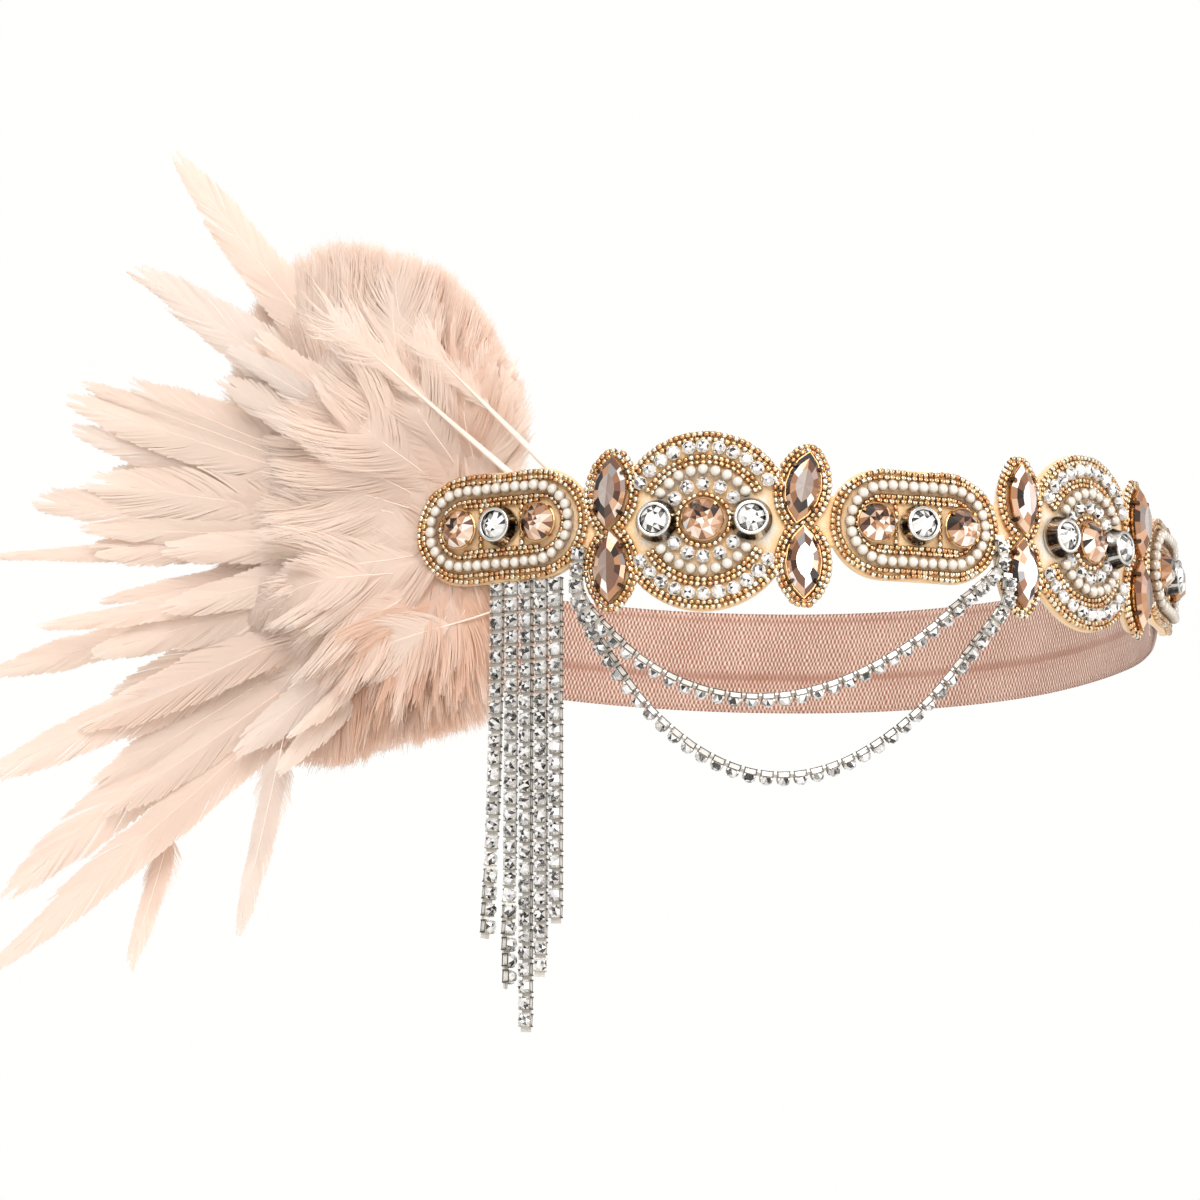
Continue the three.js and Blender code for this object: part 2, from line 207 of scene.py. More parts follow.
def feltPaint(board, look):
    place = board.place()
    fibre = board.noise(place, *look["fibre"])
    cloud = board.noise(place, look["cloud"])
    colour = board.mix(look["light"], look["deep"], (cloud * look["cloudShare"] - look["cloudFrom"]).kept())
    # painted amber light from the beads on the felt near them
    glow = (board.attribute("beadGlow") * look["goldShare"]).kept()
    return {
        "Base Color": board.mix(colour, look["gold"], glow),
        "Roughness": fibre * look["roughSpread"] + look["roughness"],
        "Normal": board.bump(fibre, *look["bump"]),
    }


elasticLook = {
    "light": hue(247, 218, 201), "deep": hue(152, 100, 80),
    "dash": 0.86 * mm, "row": 0.98 * mm,  # one loop of the knit, along the band and across it
    "slant": 0.6, "slip": (430.0, 7.0), "sag": (300.0, 4.5), "wear": 90.0, "contrast": 1.3,
    "dashLit": 1.35, "ribLit": 0.7, "wearLit": 0.4, "unlit": 0.7,
    "roughness": 0.85, "polish": 0.2, "bump": (0.00035, 0.8),
    "shader": {"Sheen Weight": 0.25},
}


def elasticPaint(board, look):
    uv = board.node("ShaderNodeUVMap", {"uv_map": "weave"})
    split = board.node("ShaderNodeSeparateXYZ", {}, {0: uv}, out="X")
    column = split * (1.0 / look["dash"])
    row = split.also("Y") * (1.0 / look["row"])
    wear = board.noise(board.place(), look["wear"])
    slip, sag = (  # the loops don't all lie alike
        board.noise(board.place(), scale) * size for scale, size in (look["slip"], look["sag"])
    )
    rib = board.attribute("rib")
    loop = (column * (2 * math.pi) + row * look["slant"] + slip).sine() * (row * math.pi + sag).sine()
    dash = (loop * rib + 0.5).kept() ** look["contrast"]  # a channel is smooth
    lit = dash * look["dashLit"] + rib * look["ribLit"] + wear * look["wearLit"] - look["unlit"]
    return {
        "Base Color": board.mix(look["deep"], look["light"], lit.kept()),
        "Roughness": look["roughness"] - dash * look["polish"],
        "Normal": board.bump(dash, *look["bump"]),
    }


beadLook = {
    "stops": [(0.0, hue(214, 144, 76)), (0.5, hue(246, 198, 134)), (1.0, hue(255, 246, 222))],
    "ends": hue(44, 25, 12), "endShare": 0.95, "roughness": 0.07, "roughSpread": 0.1,
    "shader": {"Metallic": 0.9, "Coat Weight": 1.0, "Coat Roughness": 0.04, "Coat IOR": 1.8},
}


def beadPaint(board, look):
    own = board.attribute("ownTone")
    ends = board.attribute("endShade") * look["endShare"]  # painted shade where two beads meet
    return {
        "Base Color": board.mix(board.ramp(own, look["stops"]), look["ends"], ends),
        "Roughness": own * look["roughSpread"] + look["roughness"],
    }


pearlLook = {
    "light": hue(231, 223, 210), "deep": hue(214, 203, 186), "rim": hue(140, 112, 84),
    "cloud": 700.0, "cloudShare": 0.4, "ownShare": 0.5, "rimShare": 0.9, "roughness": 0.2, "roughSpread": 0.1,
    "shader": {"Coat Weight": 1.0, "Coat Roughness": 0.1, "Coat IOR": 2.2},
}


def pearlPaint(board, look):
    cloud = board.noise(board.place(), look["cloud"])
    share = board.attribute("ownTone") * look["ownShare"] + cloud * look["cloudShare"]
    colour = board.mix(look["light"], look["deep"], share.kept())
    return {
        # painted shade, darker towards the pearl's rim so that it reads as round
        "Base Color": board.mix(colour, look["rim"], board.attribute("rimShade") * look["rimShare"]),
        "Roughness": cloud * look["roughSpread"] + look["roughness"],
    }


champagneLook = {
    "stops": [
        (0.0, hue(30, 16, 10)), (0.3, hue(122, 78, 54)), (0.55, hue(196, 142, 102)),
        (0.78, hue(240, 204, 174)), (1.0, hue(255, 250, 246)),
    ],
    "dull": hue(130, 96, 76),
    "shader": {"Metallic": 0.25, "Roughness": 0.06, "Coat Weight": 1.0, "Coat Roughness": 0.02},
}


def champagnePaint(board, look):
    facet = board.attribute("facetTone")  # painted reflection on each facet: dark to bright from 0 to 1, and from there to a dull brown at 2
    return {"Base Color": board.mix(board.ramp(facet, look["stops"]), look["dull"], (facet - 1).kept())}


crystalLook = {
    "stops": [
        (0.0, hue(24, 21, 18)), (0.18, hue(60, 56, 52)), (0.3, hue(242, 240, 238)), (1.0, hue(255, 255, 255)),
    ],
    "facetMark": 37.0, "ownMark": 91.0, "levelShare": 0.45,
    "shader": {"Metallic": 0.2, "Roughness": 0.05, "Coat Weight": 1.0, "Coat Roughness": 0.02},
}


def crystalPaint(board, look):
    # painted reflection: each facet is drawn dark or bright at random
    facet = board.attribute("facetTone")
    draw = facet * look["facetMark"] + board.attribute("ownTone") * look["ownMark"]
    mark = board.node("ShaderNodeTexWhiteNoise", {"noise_dimensions": "1D"}, {"W": draw})
    level = facet.floor()  # facets from 1 up stay bright, and below 0 they are mostly dark
    bright = (level + level * level) * (look["levelShare"] / 2)
    mark = mark * (1 - level * level * look["levelShare"]) + bright
    return {"Base Color": board.ramp(mark, look["stops"])}


metalLook = {
    "scuff": (1500.0, 3.0), "scuffShare": 0.35, "scuffFrom": 0.15,
    "roughSpread": 0.12, "bump": (0.00002, 0.3),
}
metals = {  # name, bright, dull, roughness, metallic
    "silver": ("bright_silver", hue(244, 238, 229), hue(72, 66, 58), 0.14, 0.3),
    "antique": ("antique_silver", hue(246, 243, 237), hue(48, 44, 40), 0.1, 1.0),
    "setting": ("gilt_setting", hue(226, 176, 120), hue(120, 78, 46), 0.2, 1.0),
    "claw": ("dark_claw", hue(110, 84, 66), hue(48, 36, 30), 0.25, 1.0),
}


def metalPaint(board, look):
    scuff = board.noise(board.place(), *look["scuff"])
    shade = board.attribute("wallShade") + scuff * look["scuffShare"] - look["scuffFrom"]
    return {
        "Base Color": board.mix(look["bright"], look["dull"], shade.kept()),
        "Roughness": scuff * look["roughSpread"] + look["roughness"],
        "Normal": board.bump(scuff, *look["bump"]),
    }


threadLook = {
    "light": hue(250, 240, 224), "deep": hue(226, 208, 186), "grain": 3000.0, "bump": (0.0001, 0.5),
    "shader": {"Roughness": 0.7},
}
floorLook = {
    "light": hue(226, 224, 221), "deep": hue(220, 218, 214), "grain": 3.0,
    "shader": {"Roughness": 0.8},
}


def grainPaint(board, look):
    grain = board.noise(board.place(), look["grain"])
    values = {"Base Color": board.mix(look["light"], look["deep"], grain)}
    if "bump" in look:
        values["Normal"] = board.bump(grain, *look["bump"])
    return values


finish = {
    "feather": newFinish("blush_feather", featherPaint, featherLook),
    "quill": newFinish("horn_quill", quillPaint, quillLook),
    "felt": newFinish("cream_felt", feltPaint, feltLook),
    "elastic": newFinish("blush_elastic", elasticPaint, elasticLook),
    "bead": newFinish("gold_lined_bead", beadPaint, beadLook),
    "pearl": newFinish("ivory_pearl", pearlPaint, pearlLook),
    "champagne": newFinish("champagne_stone", champagnePaint, champagneLook),
    "crystal": newFinish("clear_crystal", crystalPaint, crystalLook),
    "thread": newFinish("cream_thread", grainPaint, threadLook),
}
for key, (name, bright, dull, roughness, metallic) in metals.items():
    own = {"bright": bright, "dull": dull, "roughness": roughness, "shader": {"Metallic": metallic}}
    finish[key] = newFinish(name, metalPaint, {**metalLook, **own})
print("headpiece: finishes made")


# Meshes from arrays

def newObject(name, data):
    made = bpy.data.objects.new(name, data)
    bpy.context.scene.collection.objects.link(made)
    return made


def arrayMesh(name, points, faceSets, smooth=True, pointValues=None, faceValues=None):
    faceSets = [np.asarray(f) for f in faceSets if len(f)]
    corners = np.concatenate([f.ravel() for f in faceSets]).astype(np.int32)
    counts = np.concatenate([np.full(len(f), f.shape[1]) for f in faceSets])
    starts = np.concatenate([[0], np.cumsum(counts)[:-1]]).astype(np.int32)
    mesh = bpy.data.meshes.new(name)
    mesh.vertices.add(len(points))
    mesh.vertices.foreach_set("co", (np.asarray(points) * mm).astype(np.float32).ravel())
    mesh.loops.add(len(corners))
    mesh.loops.foreach_set("vertex_index", corners)
    mesh.polygons.add(len(counts))
    mesh.polygons.foreach_set("loop_start", starts)
    mesh.polygons.foreach_set("use_smooth", np.full(len(counts), smooth))
    mesh.update(calc_edges=True)
    for domain, values in (("POINT", pointValues), ("FACE", faceValues)):
        for key, row in (values or {}).items():
            mesh.attributes.new(key, "FLOAT", domain).data.foreach_set("value", np.asarray(row, np.float32))
    return mesh


def addPiece(name, mesh, look, replaced=()):
    piece = newObject(name, mesh)
    mesh.materials.clear()
    mesh.materials.append(finish[look])
    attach(piece, "root")
    if replaced:
        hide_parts(*replaced)
    return piece


def nodesWith(*starts):
    return [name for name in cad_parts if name.startswith(starts)]


class Heap:  # gathers small shapes into one mesh, with one tone for each face
    def __init__(self):
        self.points = []
        self.own = []
        self.faces = {3: [], 4: []}
        self.tones = {3: [], 4: []}

    def add(self, points, faces, tones, own=0.0):
        start = len(self.own)
        for face, tone in zip(faces, tones):
            self.faces[len(face)].append([i + start for i in face])
            self.tones[len(face)].append(tone)
        self.points.append(points)
        self.own += [own] * len(points)

    def mesh(self, name, toneName, smooth=False):
        points = np.concatenate(self.points)
        tones = {toneName: self.tones[3] + self.tones[4]}
        return arrayMesh(name, points, self.faces.values(), smooth, {"ownTone": self.own}, tones)


def gridFaces(rows, columns):  # quads between closed rings
    i, j = np.meshgrid(np.arange(rows - 1), np.arange(columns), indexing="ij")
    a = i * columns + j
    b = i * columns + (j + 1) % columns
    return np.stack([a, b, b + columns, a + columns], -1).reshape(-1, 4)


def fanFaces(centre, first, sides, turned=False):  # triangles that close a ring
    k = first + np.arange(sides)
    n = first + (np.arange(sides) + 1) % sides
    return np.stack([np.full(sides, centre), n if turned else k, k if turned else n], -1)


def endFaces(floor, roof, last, sides):  # both ends of a turned shape, by turns
    return np.stack([fanFaces(floor, 0, sides, True), fanFaces(roof, last, sides)], 1).reshape(-1, 3).tolist()


def ringPoints(rings):  # a ring: radius, height, sides, turn in shares of a side
    points = []
    for radius, height, sides, turn in rings:
        angle = 2 * np.pi * (np.arange(sides) + turn) / sides
        points.append(np.stack([radius * np.cos(angle), radius * np.sin(angle), np.full(sides, height)], -1))
    return np.concatenate(points)


def smoothstep(value, low, high):
    share = np.clip((value - low) / (high - low), 0.0, 1.0)
    return share * share * (3 - 2 * share)


def unit(vectors):
    return vectors / np.maximum(np.linalg.norm(vectors, axis=-1, keepdims=True), 1e-9)


def smoothPath(knots, spacing, fineSteps=40):  # a centripetal curve through the knots, at even steps
    knots = np.asarray(knots, float)
    full = np.vstack([2 * knots[0] - knots[1], knots, 2 * knots[-1] - knots[-2]])
    fine = []
    for p in (full[i:i + 4] for i in range(len(knots) - 1)):
        t = np.concatenate([[0.0], np.cumsum(np.linalg.norm(np.diff(p, axis=0), axis=1) ** 0.5)])
        x = np.linspace(t[1], t[2], fineSteps, endpoint=False)[:, None]
        line = [((t[k + 1] - x) * p[k] + (x - t[k]) * p[k + 1]) / (t[k + 1] - t[k]) for k in range(3)]
        bend = [((t[k + 2] - x) * line[k] + (x - t[k]) * line[k + 1]) / (t[k + 2] - t[k]) for k in range(2)]
        fine.append(((t[2] - x) * bend[0] + (x - t[1]) * bend[1]) / (t[2] - t[1]))
    fine = np.vstack([*fine, knots[-1:]])
    run = np.concatenate([[0.0], np.cumsum(np.linalg.norm(np.diff(fine, axis=0), axis=1))])
    even = np.linspace(0.0, run[-1], max(2, int(round(run[-1] / spacing)) + 1))
    return np.stack([np.interp(even, run, fine[:, k]) for k in range(3)], -1), run[-1]


# Places on the ring: along it from the middle of the front, up, and out from the felt's face

band = {"radius": 86.0, "flatFrom": -76.0, "gap": 0.3, "halfHeight": 5.0}
Motif = namedtuple("Motif", "name kind along rise extra")
motifs = [  # the last value is the half length of an oval, or the lean of a pair's upper stone
    Motif("oval_a", "oval", -84.2, 1.3, 19.4),
    Motif("a", "pair", -60.4, -1.2, -6.0),
    Motif("round_a", "round", -42.2, 0.0, 0.0),
    Motif("b", "pair", -23.2, -1.0, -11.0),
    Motif("oval_b", "oval", -0.2, -0.2, 18.0),
    Motif("c", "pair", 23.2, -0.5, 5.0),
    Motif("round_b", "round", 42.4, 0.6, 0.0),
    Motif("d", "pair", 61.6, 0.0, 4.0),
    Motif("oval_c", "oval", 84.2, 0.0, 18.0),
]
ovals, rounds, pairs = ([m for m in motifs if m.kind == kind] for kind in ("oval", "round", "pair"))
oval = {"halfHeight": 10.9, "stoneSpacing": 8.9, "pearlInset": 4.0, "pearlRise": 7.4}
roundel = {"outline": 17.6, "bezelSpacing": 9.1}
pair = {"halfWidth": 5.4, "halfHeight": 14.7, "stoneRise": 7.3, "roundness": 2.4}
upward = np.array([0.0, 0.0, 1.0])


def bandAngle(along):  # past flatFrom the strip runs on straight
    return np.maximum(along, band["flatFrom"]) / band["radius"]


def outward(along):
    angle = bandAngle(along)
    return np.stack([np.sin(angle), -np.cos(angle), 0.0 * angle], -1)


def onward(along):
    angle = bandAngle(along)
    return np.stack([np.cos(angle), np.sin(angle), 0.0 * angle], -1)


def onBand(along, height, out):
    along, height, out = np.broadcast_arrays(*(np.asarray(x, float) for x in (along, height, out)))
    past = np.minimum(0.0, along - band["flatFrom"])
    place = outward(along) * (band["radius"] + out)[..., None] + onward(along) * past[..., None]
    place[..., 2] = height
    return place


def seated(points, along, height, turn=0.0):  # a shape made on z = 0, set on the face
    points = np.asarray(points, float)
    c, s = math.cos(math.radians(turn)), math.sin(math.radians(turn))
    x = points[:, :1] * c - points[:, 1:2] * s
    y = points[:, :1] * s + points[:, 1:2] * c
    seat = onBand(along, height, band["gap"])
    return seat + x * onward(along) + y * upward + points[:, 2:] * outward(along)


# The elastic loop, knitted, with lengthwise channels

elastic = {
    "width": 22.0, "endWidth": 17.0, "taper": 0.06, "thickness": 1.5, "dip": 2.8, "dipShare": 0.55,
    "riseFrom": 0.7, "selvedge": 14, "step": 0.8, "across": 40,
    "channels": [(-0.47, 0.03, 0.08), (-0.3, 0.08, 0.22), (0.84, 0.05, 0.12)],  # place, half width, depth
    "rib": 0.5, "ribDip": 2, "leastRib": 0.15,
    "farSewn": 16, "farOut": -2.65, "plumeSewn": 15, "plumeOut": -4.6,
    "route": [  # angle and radius of the part that hangs free
        (84, 83.4), (112, 83.5), (140, 83.8), (168, 84.2), (196, 85.0), (222, 86.4), (248, 87.8), (272, 88.2),
    ],
}


def elasticKnots():
    first, last = ovals[-1].along, ovals[0].along
    knots = [onBand(first + past, 0, elastic["farOut"]) for past in (0, elastic["farSewn"])]
    for turn, reach in elastic["route"]:
        angle = math.radians(turn)
        knots.append([reach * math.sin(angle), -reach * math.cos(angle), 0.0])
    return knots + [onBand(last - past, 0, elastic["plumeOut"]) for past in (elastic["plumeSewn"], 0)]


def makeElastic():
    line, length = smoothPath(elasticKnots(), elastic["step"])
    share = np.linspace(0.0, 1.0, len(line))
    fromEnd = np.minimum(1.0, np.minimum(share, 1 - share) / elastic["taper"])
    half = (elastic["endWidth"] + (elastic["width"] - elastic["endWidth"]) * fromEnd) / 2
    rise = ovals[0].rise * smoothstep(share, elastic["riseFrom"], 1.0)
    middle = rise - elastic["dip"] * np.sin(np.pi * np.minimum(1.0, share / elastic["dipShare"]))
    side = unit(np.cross(np.gradient(line, axis=0), upward))
    y = np.linspace(-1.0, 1.0, elastic["across"])
    crown = np.sqrt(np.clip(1 - np.abs(y) ** elastic["selvedge"], 0.0, 1.0))  # the selvedge rounds off
    channel = sum(depth * np.exp(-((y - at) / wide) ** 2) for at, wide, depth in elastic["channels"])
    skin = elastic["thickness"] / 2 * crown - channel
    ringY = np.concatenate([y, y[::-1]])
    ringOut = np.concatenate([skin, -skin[::-1]])
    points = line[:, None, :] + side[:, None, :] * ringOut[None, :, None]
    points[..., 2] = middle[:, None] + half[:, None] * ringY
    columns = len(ringY)
    faces = gridFaces(len(line), columns)[:, ::-1]
    caps = []
    for start in (0, (len(line) - 1) * columns):
        rim = start + np.arange(columns)
        cap = [
            [rim[k], rim[k + 1], rim[columns - 2 - k], rim[columns - 1 - k]] for k in range(columns // 2 - 1)
        ]
        caps += [c[::-1] for c in cap] if start else cap
    grooves = np.concatenate([channel, channel[::-1]])
    rib = np.clip(elastic["rib"] - grooves * elastic["ribDip"], elastic["leastRib"], 1)
    values = {"rib": np.tile(rib, len(line))}
    mesh = arrayMesh("elastic_loop", points.reshape(-1, 3), [faces, caps], True, values)
    weave = mesh.uv_layers.new(name="weave")
    corner = np.zeros(len(mesh.loops), np.int32)
    mesh.loops.foreach_get("vertex_index", corner)
    run = (share * length)[corner // columns]
    across = np.tile(ringY, len(line))[corner] * half[corner // columns]
    weave.data.foreach_set("uv", (np.stack([run, across], -1) * mm).astype(np.float32).ravel())
    loop = addPiece("elastic_loop", mesh, "elastic", ["elastic_band"])
    return line, side, half, middle, length


elasticLine, elasticSide, elasticHalf, elasticMiddle, elasticLength = makeElastic()
print("headpiece: elastic loop, %.0f mm" % elasticLength)


# The strung tree: shapes set along the edges of a path mesh, facing as its "facing" attribute says

toneDraw = 7.0  # added to the seed, so that tones aren't drawn with the sizes


def strungTree():
    tree = bpy.data.node_groups.new("strung_along_path", "GeometryNodeTree")
    board = Board(tree)
    inputs = [
        ("Path", "Geometry"), ("Bead", "Object"), ("Pitch", "Float"), ("Size Spread", "Float"),
        ("Scatter", "Float"), ("Roll", "Float"), ("Seed", "Int"), ("Finish", "Material"),
    ]
    for label, kind in inputs:
        tree.interface.new_socket(name=label, in_out="INPUT", socket_type="NodeSocket" + kind)
    tree.interface.new_socket(name="Geometry", in_out="OUTPUT", socket_type="NodeSocketGeometry")
    given = board.node("NodeGroupInput")
    seed = given.also("Seed")
    spread = given.also("Size Spread")
    scatter = given.also("Scatter")

    def chance(low, high, draw):
        values = {2: low, 3: high, "Seed": draw}
        return board.node("FunctionNodeRandomValue", {"data_type": "FLOAT"}, values, out=1)

    curve = board.node("GeometryNodeMeshToCurve", {}, {"Mesh": given.also("Path")})
    values = {"Curve": curve, "Length": given.also("Pitch")}
    points = board.node("GeometryNodeResampleCurve", {"mode": "LENGTH"}, values)
    low = board.node("ShaderNodeCombineXYZ", {}, {k: scatter * -1.0 for k in range(3)})
    high = board.node("ShaderNodeCombineXYZ", {}, {k: scatter for k in range(3)})
    values = {0: low, 1: high, "Seed": seed}
    shift = board.node("FunctionNodeRandomValue", {"data_type": "FLOAT_VECTOR"}, values)
    points = board.node("GeometryNodeSetPosition", {}, {"Geometry": points, "Offset": shift})
    facing = board.node("GeometryNodeInputNamedAttribute", {"data_type": "FLOAT_VECTOR"}, {"Name": "facing"})
    heading = board.node("GeometryNodeInputTangent")
    axes = {"primary_axis": "X", "secondary_axis": "Z"}
    turned = board.node("FunctionNodeAxesToRotation", axes, {0: heading, 1: facing})
    values = {"Axis": (0.0, 0.0, 1.0), "Angle": chance(0.0, given.also("Roll"), seed)}
    roll = board.node("FunctionNodeAxisAngleToRotation", {}, values)
    turned = board.node("FunctionNodeRotateRotation", {"rotation_space": "LOCAL"}, {0: turned, 1: roll})
    size = chance(1 - spread, 1 + spread, seed)
    bead = board.node("GeometryNodeObjectInfo", {}, {"Object": given.also("Bead")}, out="Geometry")
    values = {"Points": points, "Instance": bead, "Rotation": turned, "Scale": size}
    strung = board.node("GeometryNodeInstanceOnPoints", {}, values)
    named = {"data_type": "FLOAT", "domain": "INSTANCE"}
    own = chance(0.0, 1.0, seed + toneDraw)
    values = {"Geometry": strung, "Name": "ownTone", "Value": own}
    strung = board.node("GeometryNodeStoreNamedAttribute", named, values)
    strung = board.node("GeometryNodeRealizeInstances", {}, {"Geometry": strung})
    values = {"Geometry": strung, "Material": given.also("Finish")}
    strung = board.node("GeometryNodeSetMaterial", {}, values)
    board.node("NodeGroupOutput", {}, {"Geometry": strung})
    return tree


strung = strungTree()


def pathMesh(name, ropes):  # ropes: points, facings, whether closed
    points = np.concatenate([r[0] for r in ropes])
    facing = np.concatenate([r[1] for r in ropes]).astype(np.float32)
    edges = []
    start = 0
    for line, _, closed in ropes:
        count = len(line)
        edges += [(start + k, start + k + 1) for k in range(count - 1)]
        if closed:
            edges.append((start + count - 1, start))
        start += count
    mesh = bpy.data.meshes.new(name)
    mesh.from_pydata((points * mm).tolist(), edges, [])
    mesh.attributes.new("facing", "FLOAT_VECTOR", "POINT").data.foreach_set("vector", facing.ravel())
    return mesh


def stringOn(name, ropes, beadMesh, look, string, replaced=()):
    bead = newObject(name + "_one", beadMesh)
    holder = newObject(name + "_path", pathMesh(name + "_path", ropes))
    modifier = holder.modifiers.new("strung", "NODES")
    modifier.node_group = strung
    values = {
        "Bead": bead, "Pitch": string["pitch"] * mm, "Size Spread": string.get("spread", 0.0),
        "Scatter": string.get("scatter", 0.0) * mm, "Roll": string.get("roll", 0.0), "Seed": string["seed"],
        "Finish": finish[look],
    }
    for item in strung.interface.items_tree:
        if item.in_out == "INPUT" and item.name in values:
            modifier[item.identifier] = values[item.name]
    graph = bpy.context.evaluated_depsgraph_get()
    made = holder.evaluated_get(graph)
    mesh = bpy.data.meshes.new_from_object(made, preserve_all_data_layers=True, depsgraph=graph)
    mesh.name = name
    bpy.data.objects.remove(holder)
    bpy.data.objects.remove(bead)
    return addPiece(name, mesh, look, replaced)


# Outlines on the strip

pathStep = 0.35  # between two points of a path


def outlinePath(motif, halfLength, halfHeight):  # a closed stadium round a motif
    straight = halfLength - halfHeight
    quarter = max(4, int(halfHeight * math.pi / pathStep))
    right = np.linspace(-math.pi / 2, math.pi / 2, quarter)
    x = np.concatenate([straight + halfHeight * np.cos(right), -straight - halfHeight * np.cos(right)])
    y = np.concatenate([halfHeight * np.sin(right), -halfHeight * np.sin(right)])
    x, y = (np.append(v, v[0]) for v in (x, y))
    run = np.concatenate([[0.0], np.cumsum(np.hypot(np.diff(x), np.diff(y)))])
    even = np.linspace(0.0, run[-1], int(run[-1] / pathStep), endpoint=False)
    return motif.along + np.interp(even, run, x), motif.rise + np.interp(even, run, y)


def arcPath(motif, radius, halfSpan, side):
    angle = np.radians(halfSpan)
    angle = np.linspace(-angle, angle, max(6, int(2 * radius * angle / pathStep)))
    return motif.along + radius * np.sin(angle), motif.rise + side * radius * np.cos(angle)


def onFace(alongHeight, out, closed=True):
    along, height = alongHeight
    return onBand(along, height, out), outward(along), closed


def edgesOf(along):  # the felt's lower and upper edge
    spans = []
    if ovals[0].along <= along <= ovals[-1].along:
        spans.append((-band["halfHeight"], band["halfHeight"]))
    for motif in motifs:
        x = abs(along - motif.along)
        if motif.kind == "pair":
            power = pair["roundness"]
            half = pair["halfHeight"] * max(0.0, 1 - (x / pair["halfWidth"]) ** power) ** (1 / power)
        else:
            long, high = roundel["outline"], roundel["outline"]
            if motif.kind == "oval":
                long, high = motif.extra, oval["halfHeight"]
            half = math.sqrt(max(0.0, high ** 2 - max(0.0, x - (long - high)) ** 2))
        if half > 0:
            spans.append((motif.rise - half, motif.rise + half))
    return min(s[0] for s in spans), max(s[1] for s in spans)


# The pointed stones' settings, whose outline the seed beads follow too

navette = {
    "halfLength": 6.9, "halfWidth": 3.4, "perSide": 6, "seed": 73,
    "gem": [(0.5, 3.2), (0.8, 2.5), (1.0, 1.6), (0.97, 1.25), (0.6, 0.5)],  # scale and height of each ring
    "cup": [(0.92, 0.0), (1.03, 0.9), (1.05, 1.3), (0.97, 1.3)], "cupBed": 1.1, "cupTone": 0.3,
    "clawAside": 0.74, "clawAlong": 0.56, "clawTurn": 0.4, "claw": (0.5, 2.15, 0.4), "clawTone": 0.4,
    # tones of the painted reflection on the facets: brighter towards the tips and towards one end, with one
    # half of each table brighter
    "crownTone": 0.2, "tipTone": 0.5, "tipPower": 1.5, "upTone": 0.1, "toneSpread": 0.34,
    "halfTone": 0.1, "tableSpread": 0.03, "underTone": 0.2,
    "tables": {  # tone of the painted reflection on the table, and its tilt, for the upper and lower stone of each pair
        "a": ((1.75, 0.05), (1.9, -0.04)), "b": ((1.7, 0.07), (1.0, 0.0)),
        "c": ((1.7, -0.03), (0.9, 0.0)), "d": ((1.5, 0.05), (1.8, 0.0)),
    },
}


def navetteOutline(scale, perSide, offset=0.0):
    length, width = navette["halfLength"], navette["halfWidth"]
    arc = (length ** 2 + width ** 2) / (2 * width)
    reach = math.asin(length / arc)
    angle = reach * (2 * np.arange(perSide) / perSide - 1)
    x = ((arc + offset) * np.cos(angle) - (arc - width)) * scale
    y = (arc + offset) * np.sin(angle) * scale
    return np.stack([np.concatenate([x, -x]), np.concatenate([y, -y])], -1)


# Ropes of seed beads, and the strings of pearls

seedBead = {
    "radius": 0.54, "length": 1.12, "hole": 0.4, "out": 0.5,
    "pitch": 1.18, "seed": 11, "spread": 0.1, "scatter": 0.07,
    "edge": 0.7, "scallops": 3, "scallop": 0.5, "scallopDip": 0.35, "scallopFrom": 0.5,
    "second": 1.85, "secondLift": 0.05, "inner": 5.65, "innerHalf": 5.5, "innerLift": 0.1,
    "shortHalf": 8.0, "shortRise": 4.5, "uprightHalf": 3.4, "uprightAside": 4.6,
    "ring": (5.0, 4.999), "ringLift": 0.5,
    "arcs": [(17.0, 66.0), (15.95, 64.0), (12.45, 60.0), (11.4, 60.0)],  # radius, half span
    "navetteOffsets": (0.7, 1.75), "navetteSteps": 60, "navetteGap": 0.35,
}
pearls = {
    "radius": 1.15, "sides": 14, "rows": 10, "rim": (0.1, 0.9),
    "pitch": 2.16, "seed": 5, "spread": 0.05, "scatter": 0.08,
}
arcs = {"crystals_inner": (7.1, 52.0), "pearls": (9.75, 56.0), "crystals_outer": (14.4, 58.0)}


def ovalRopes(motif):
    out = seedBead["out"]
    long, high = motif.extra, oval["halfHeight"]
    along, height = outlinePath(motif, long - seedBead["edge"], high - seedBead["edge"])
    wave = np.abs(np.sin(seedBead["scallops"] * np.pi * (along - motif.along) / (2 * long)))
    bump = seedBead["scallop"] * wave - seedBead["scallopDip"]
    off = height - motif.rise
    height = height + np.sign(off) * bump * (np.abs(off) > high * seedBead["scallopFrom"])
    second = outlinePath(motif, long - seedBead["second"], high - seedBead["second"])
    inner = outlinePath(motif, long - seedBead["inner"], seedBead["innerHalf"])
    ropes = [
        onFace((along, height), out),
        onFace(second, out + seedBead["secondLift"]),
        onFace(inner, out + seedBead["innerLift"]),
    ]
    short = np.linspace(-seedBead["shortHalf"], seedBead["shortHalf"], 40)
    upright = np.linspace(-seedBead["uprightHalf"], seedBead["uprightHalf"], 20)
    for side in (1, -1):  # a short second row over and under the bezel, and one between bezel and stone
        level = motif.rise + side * seedBead["shortRise"] + 0 * short
        ropes.append(onFace((motif.along + short, level), out, False))
        aside = motif.along + side * seedBead["uprightAside"] + 0 * upright
        ropes.append(onFace((aside, motif.rise + upright), out, False))
    return ropes


def roundRopes(motif):
    ropes = [onFace(outlinePath(motif, *seedBead["ring"]), seedBead["out"] + seedBead["ringLift"])]
    for side in (1, -1):
        for radius, span in seedBead["arcs"]:
            ropes.append(onFace(arcPath(motif, radius, span, side), seedBead["out"], False))
    return ropes


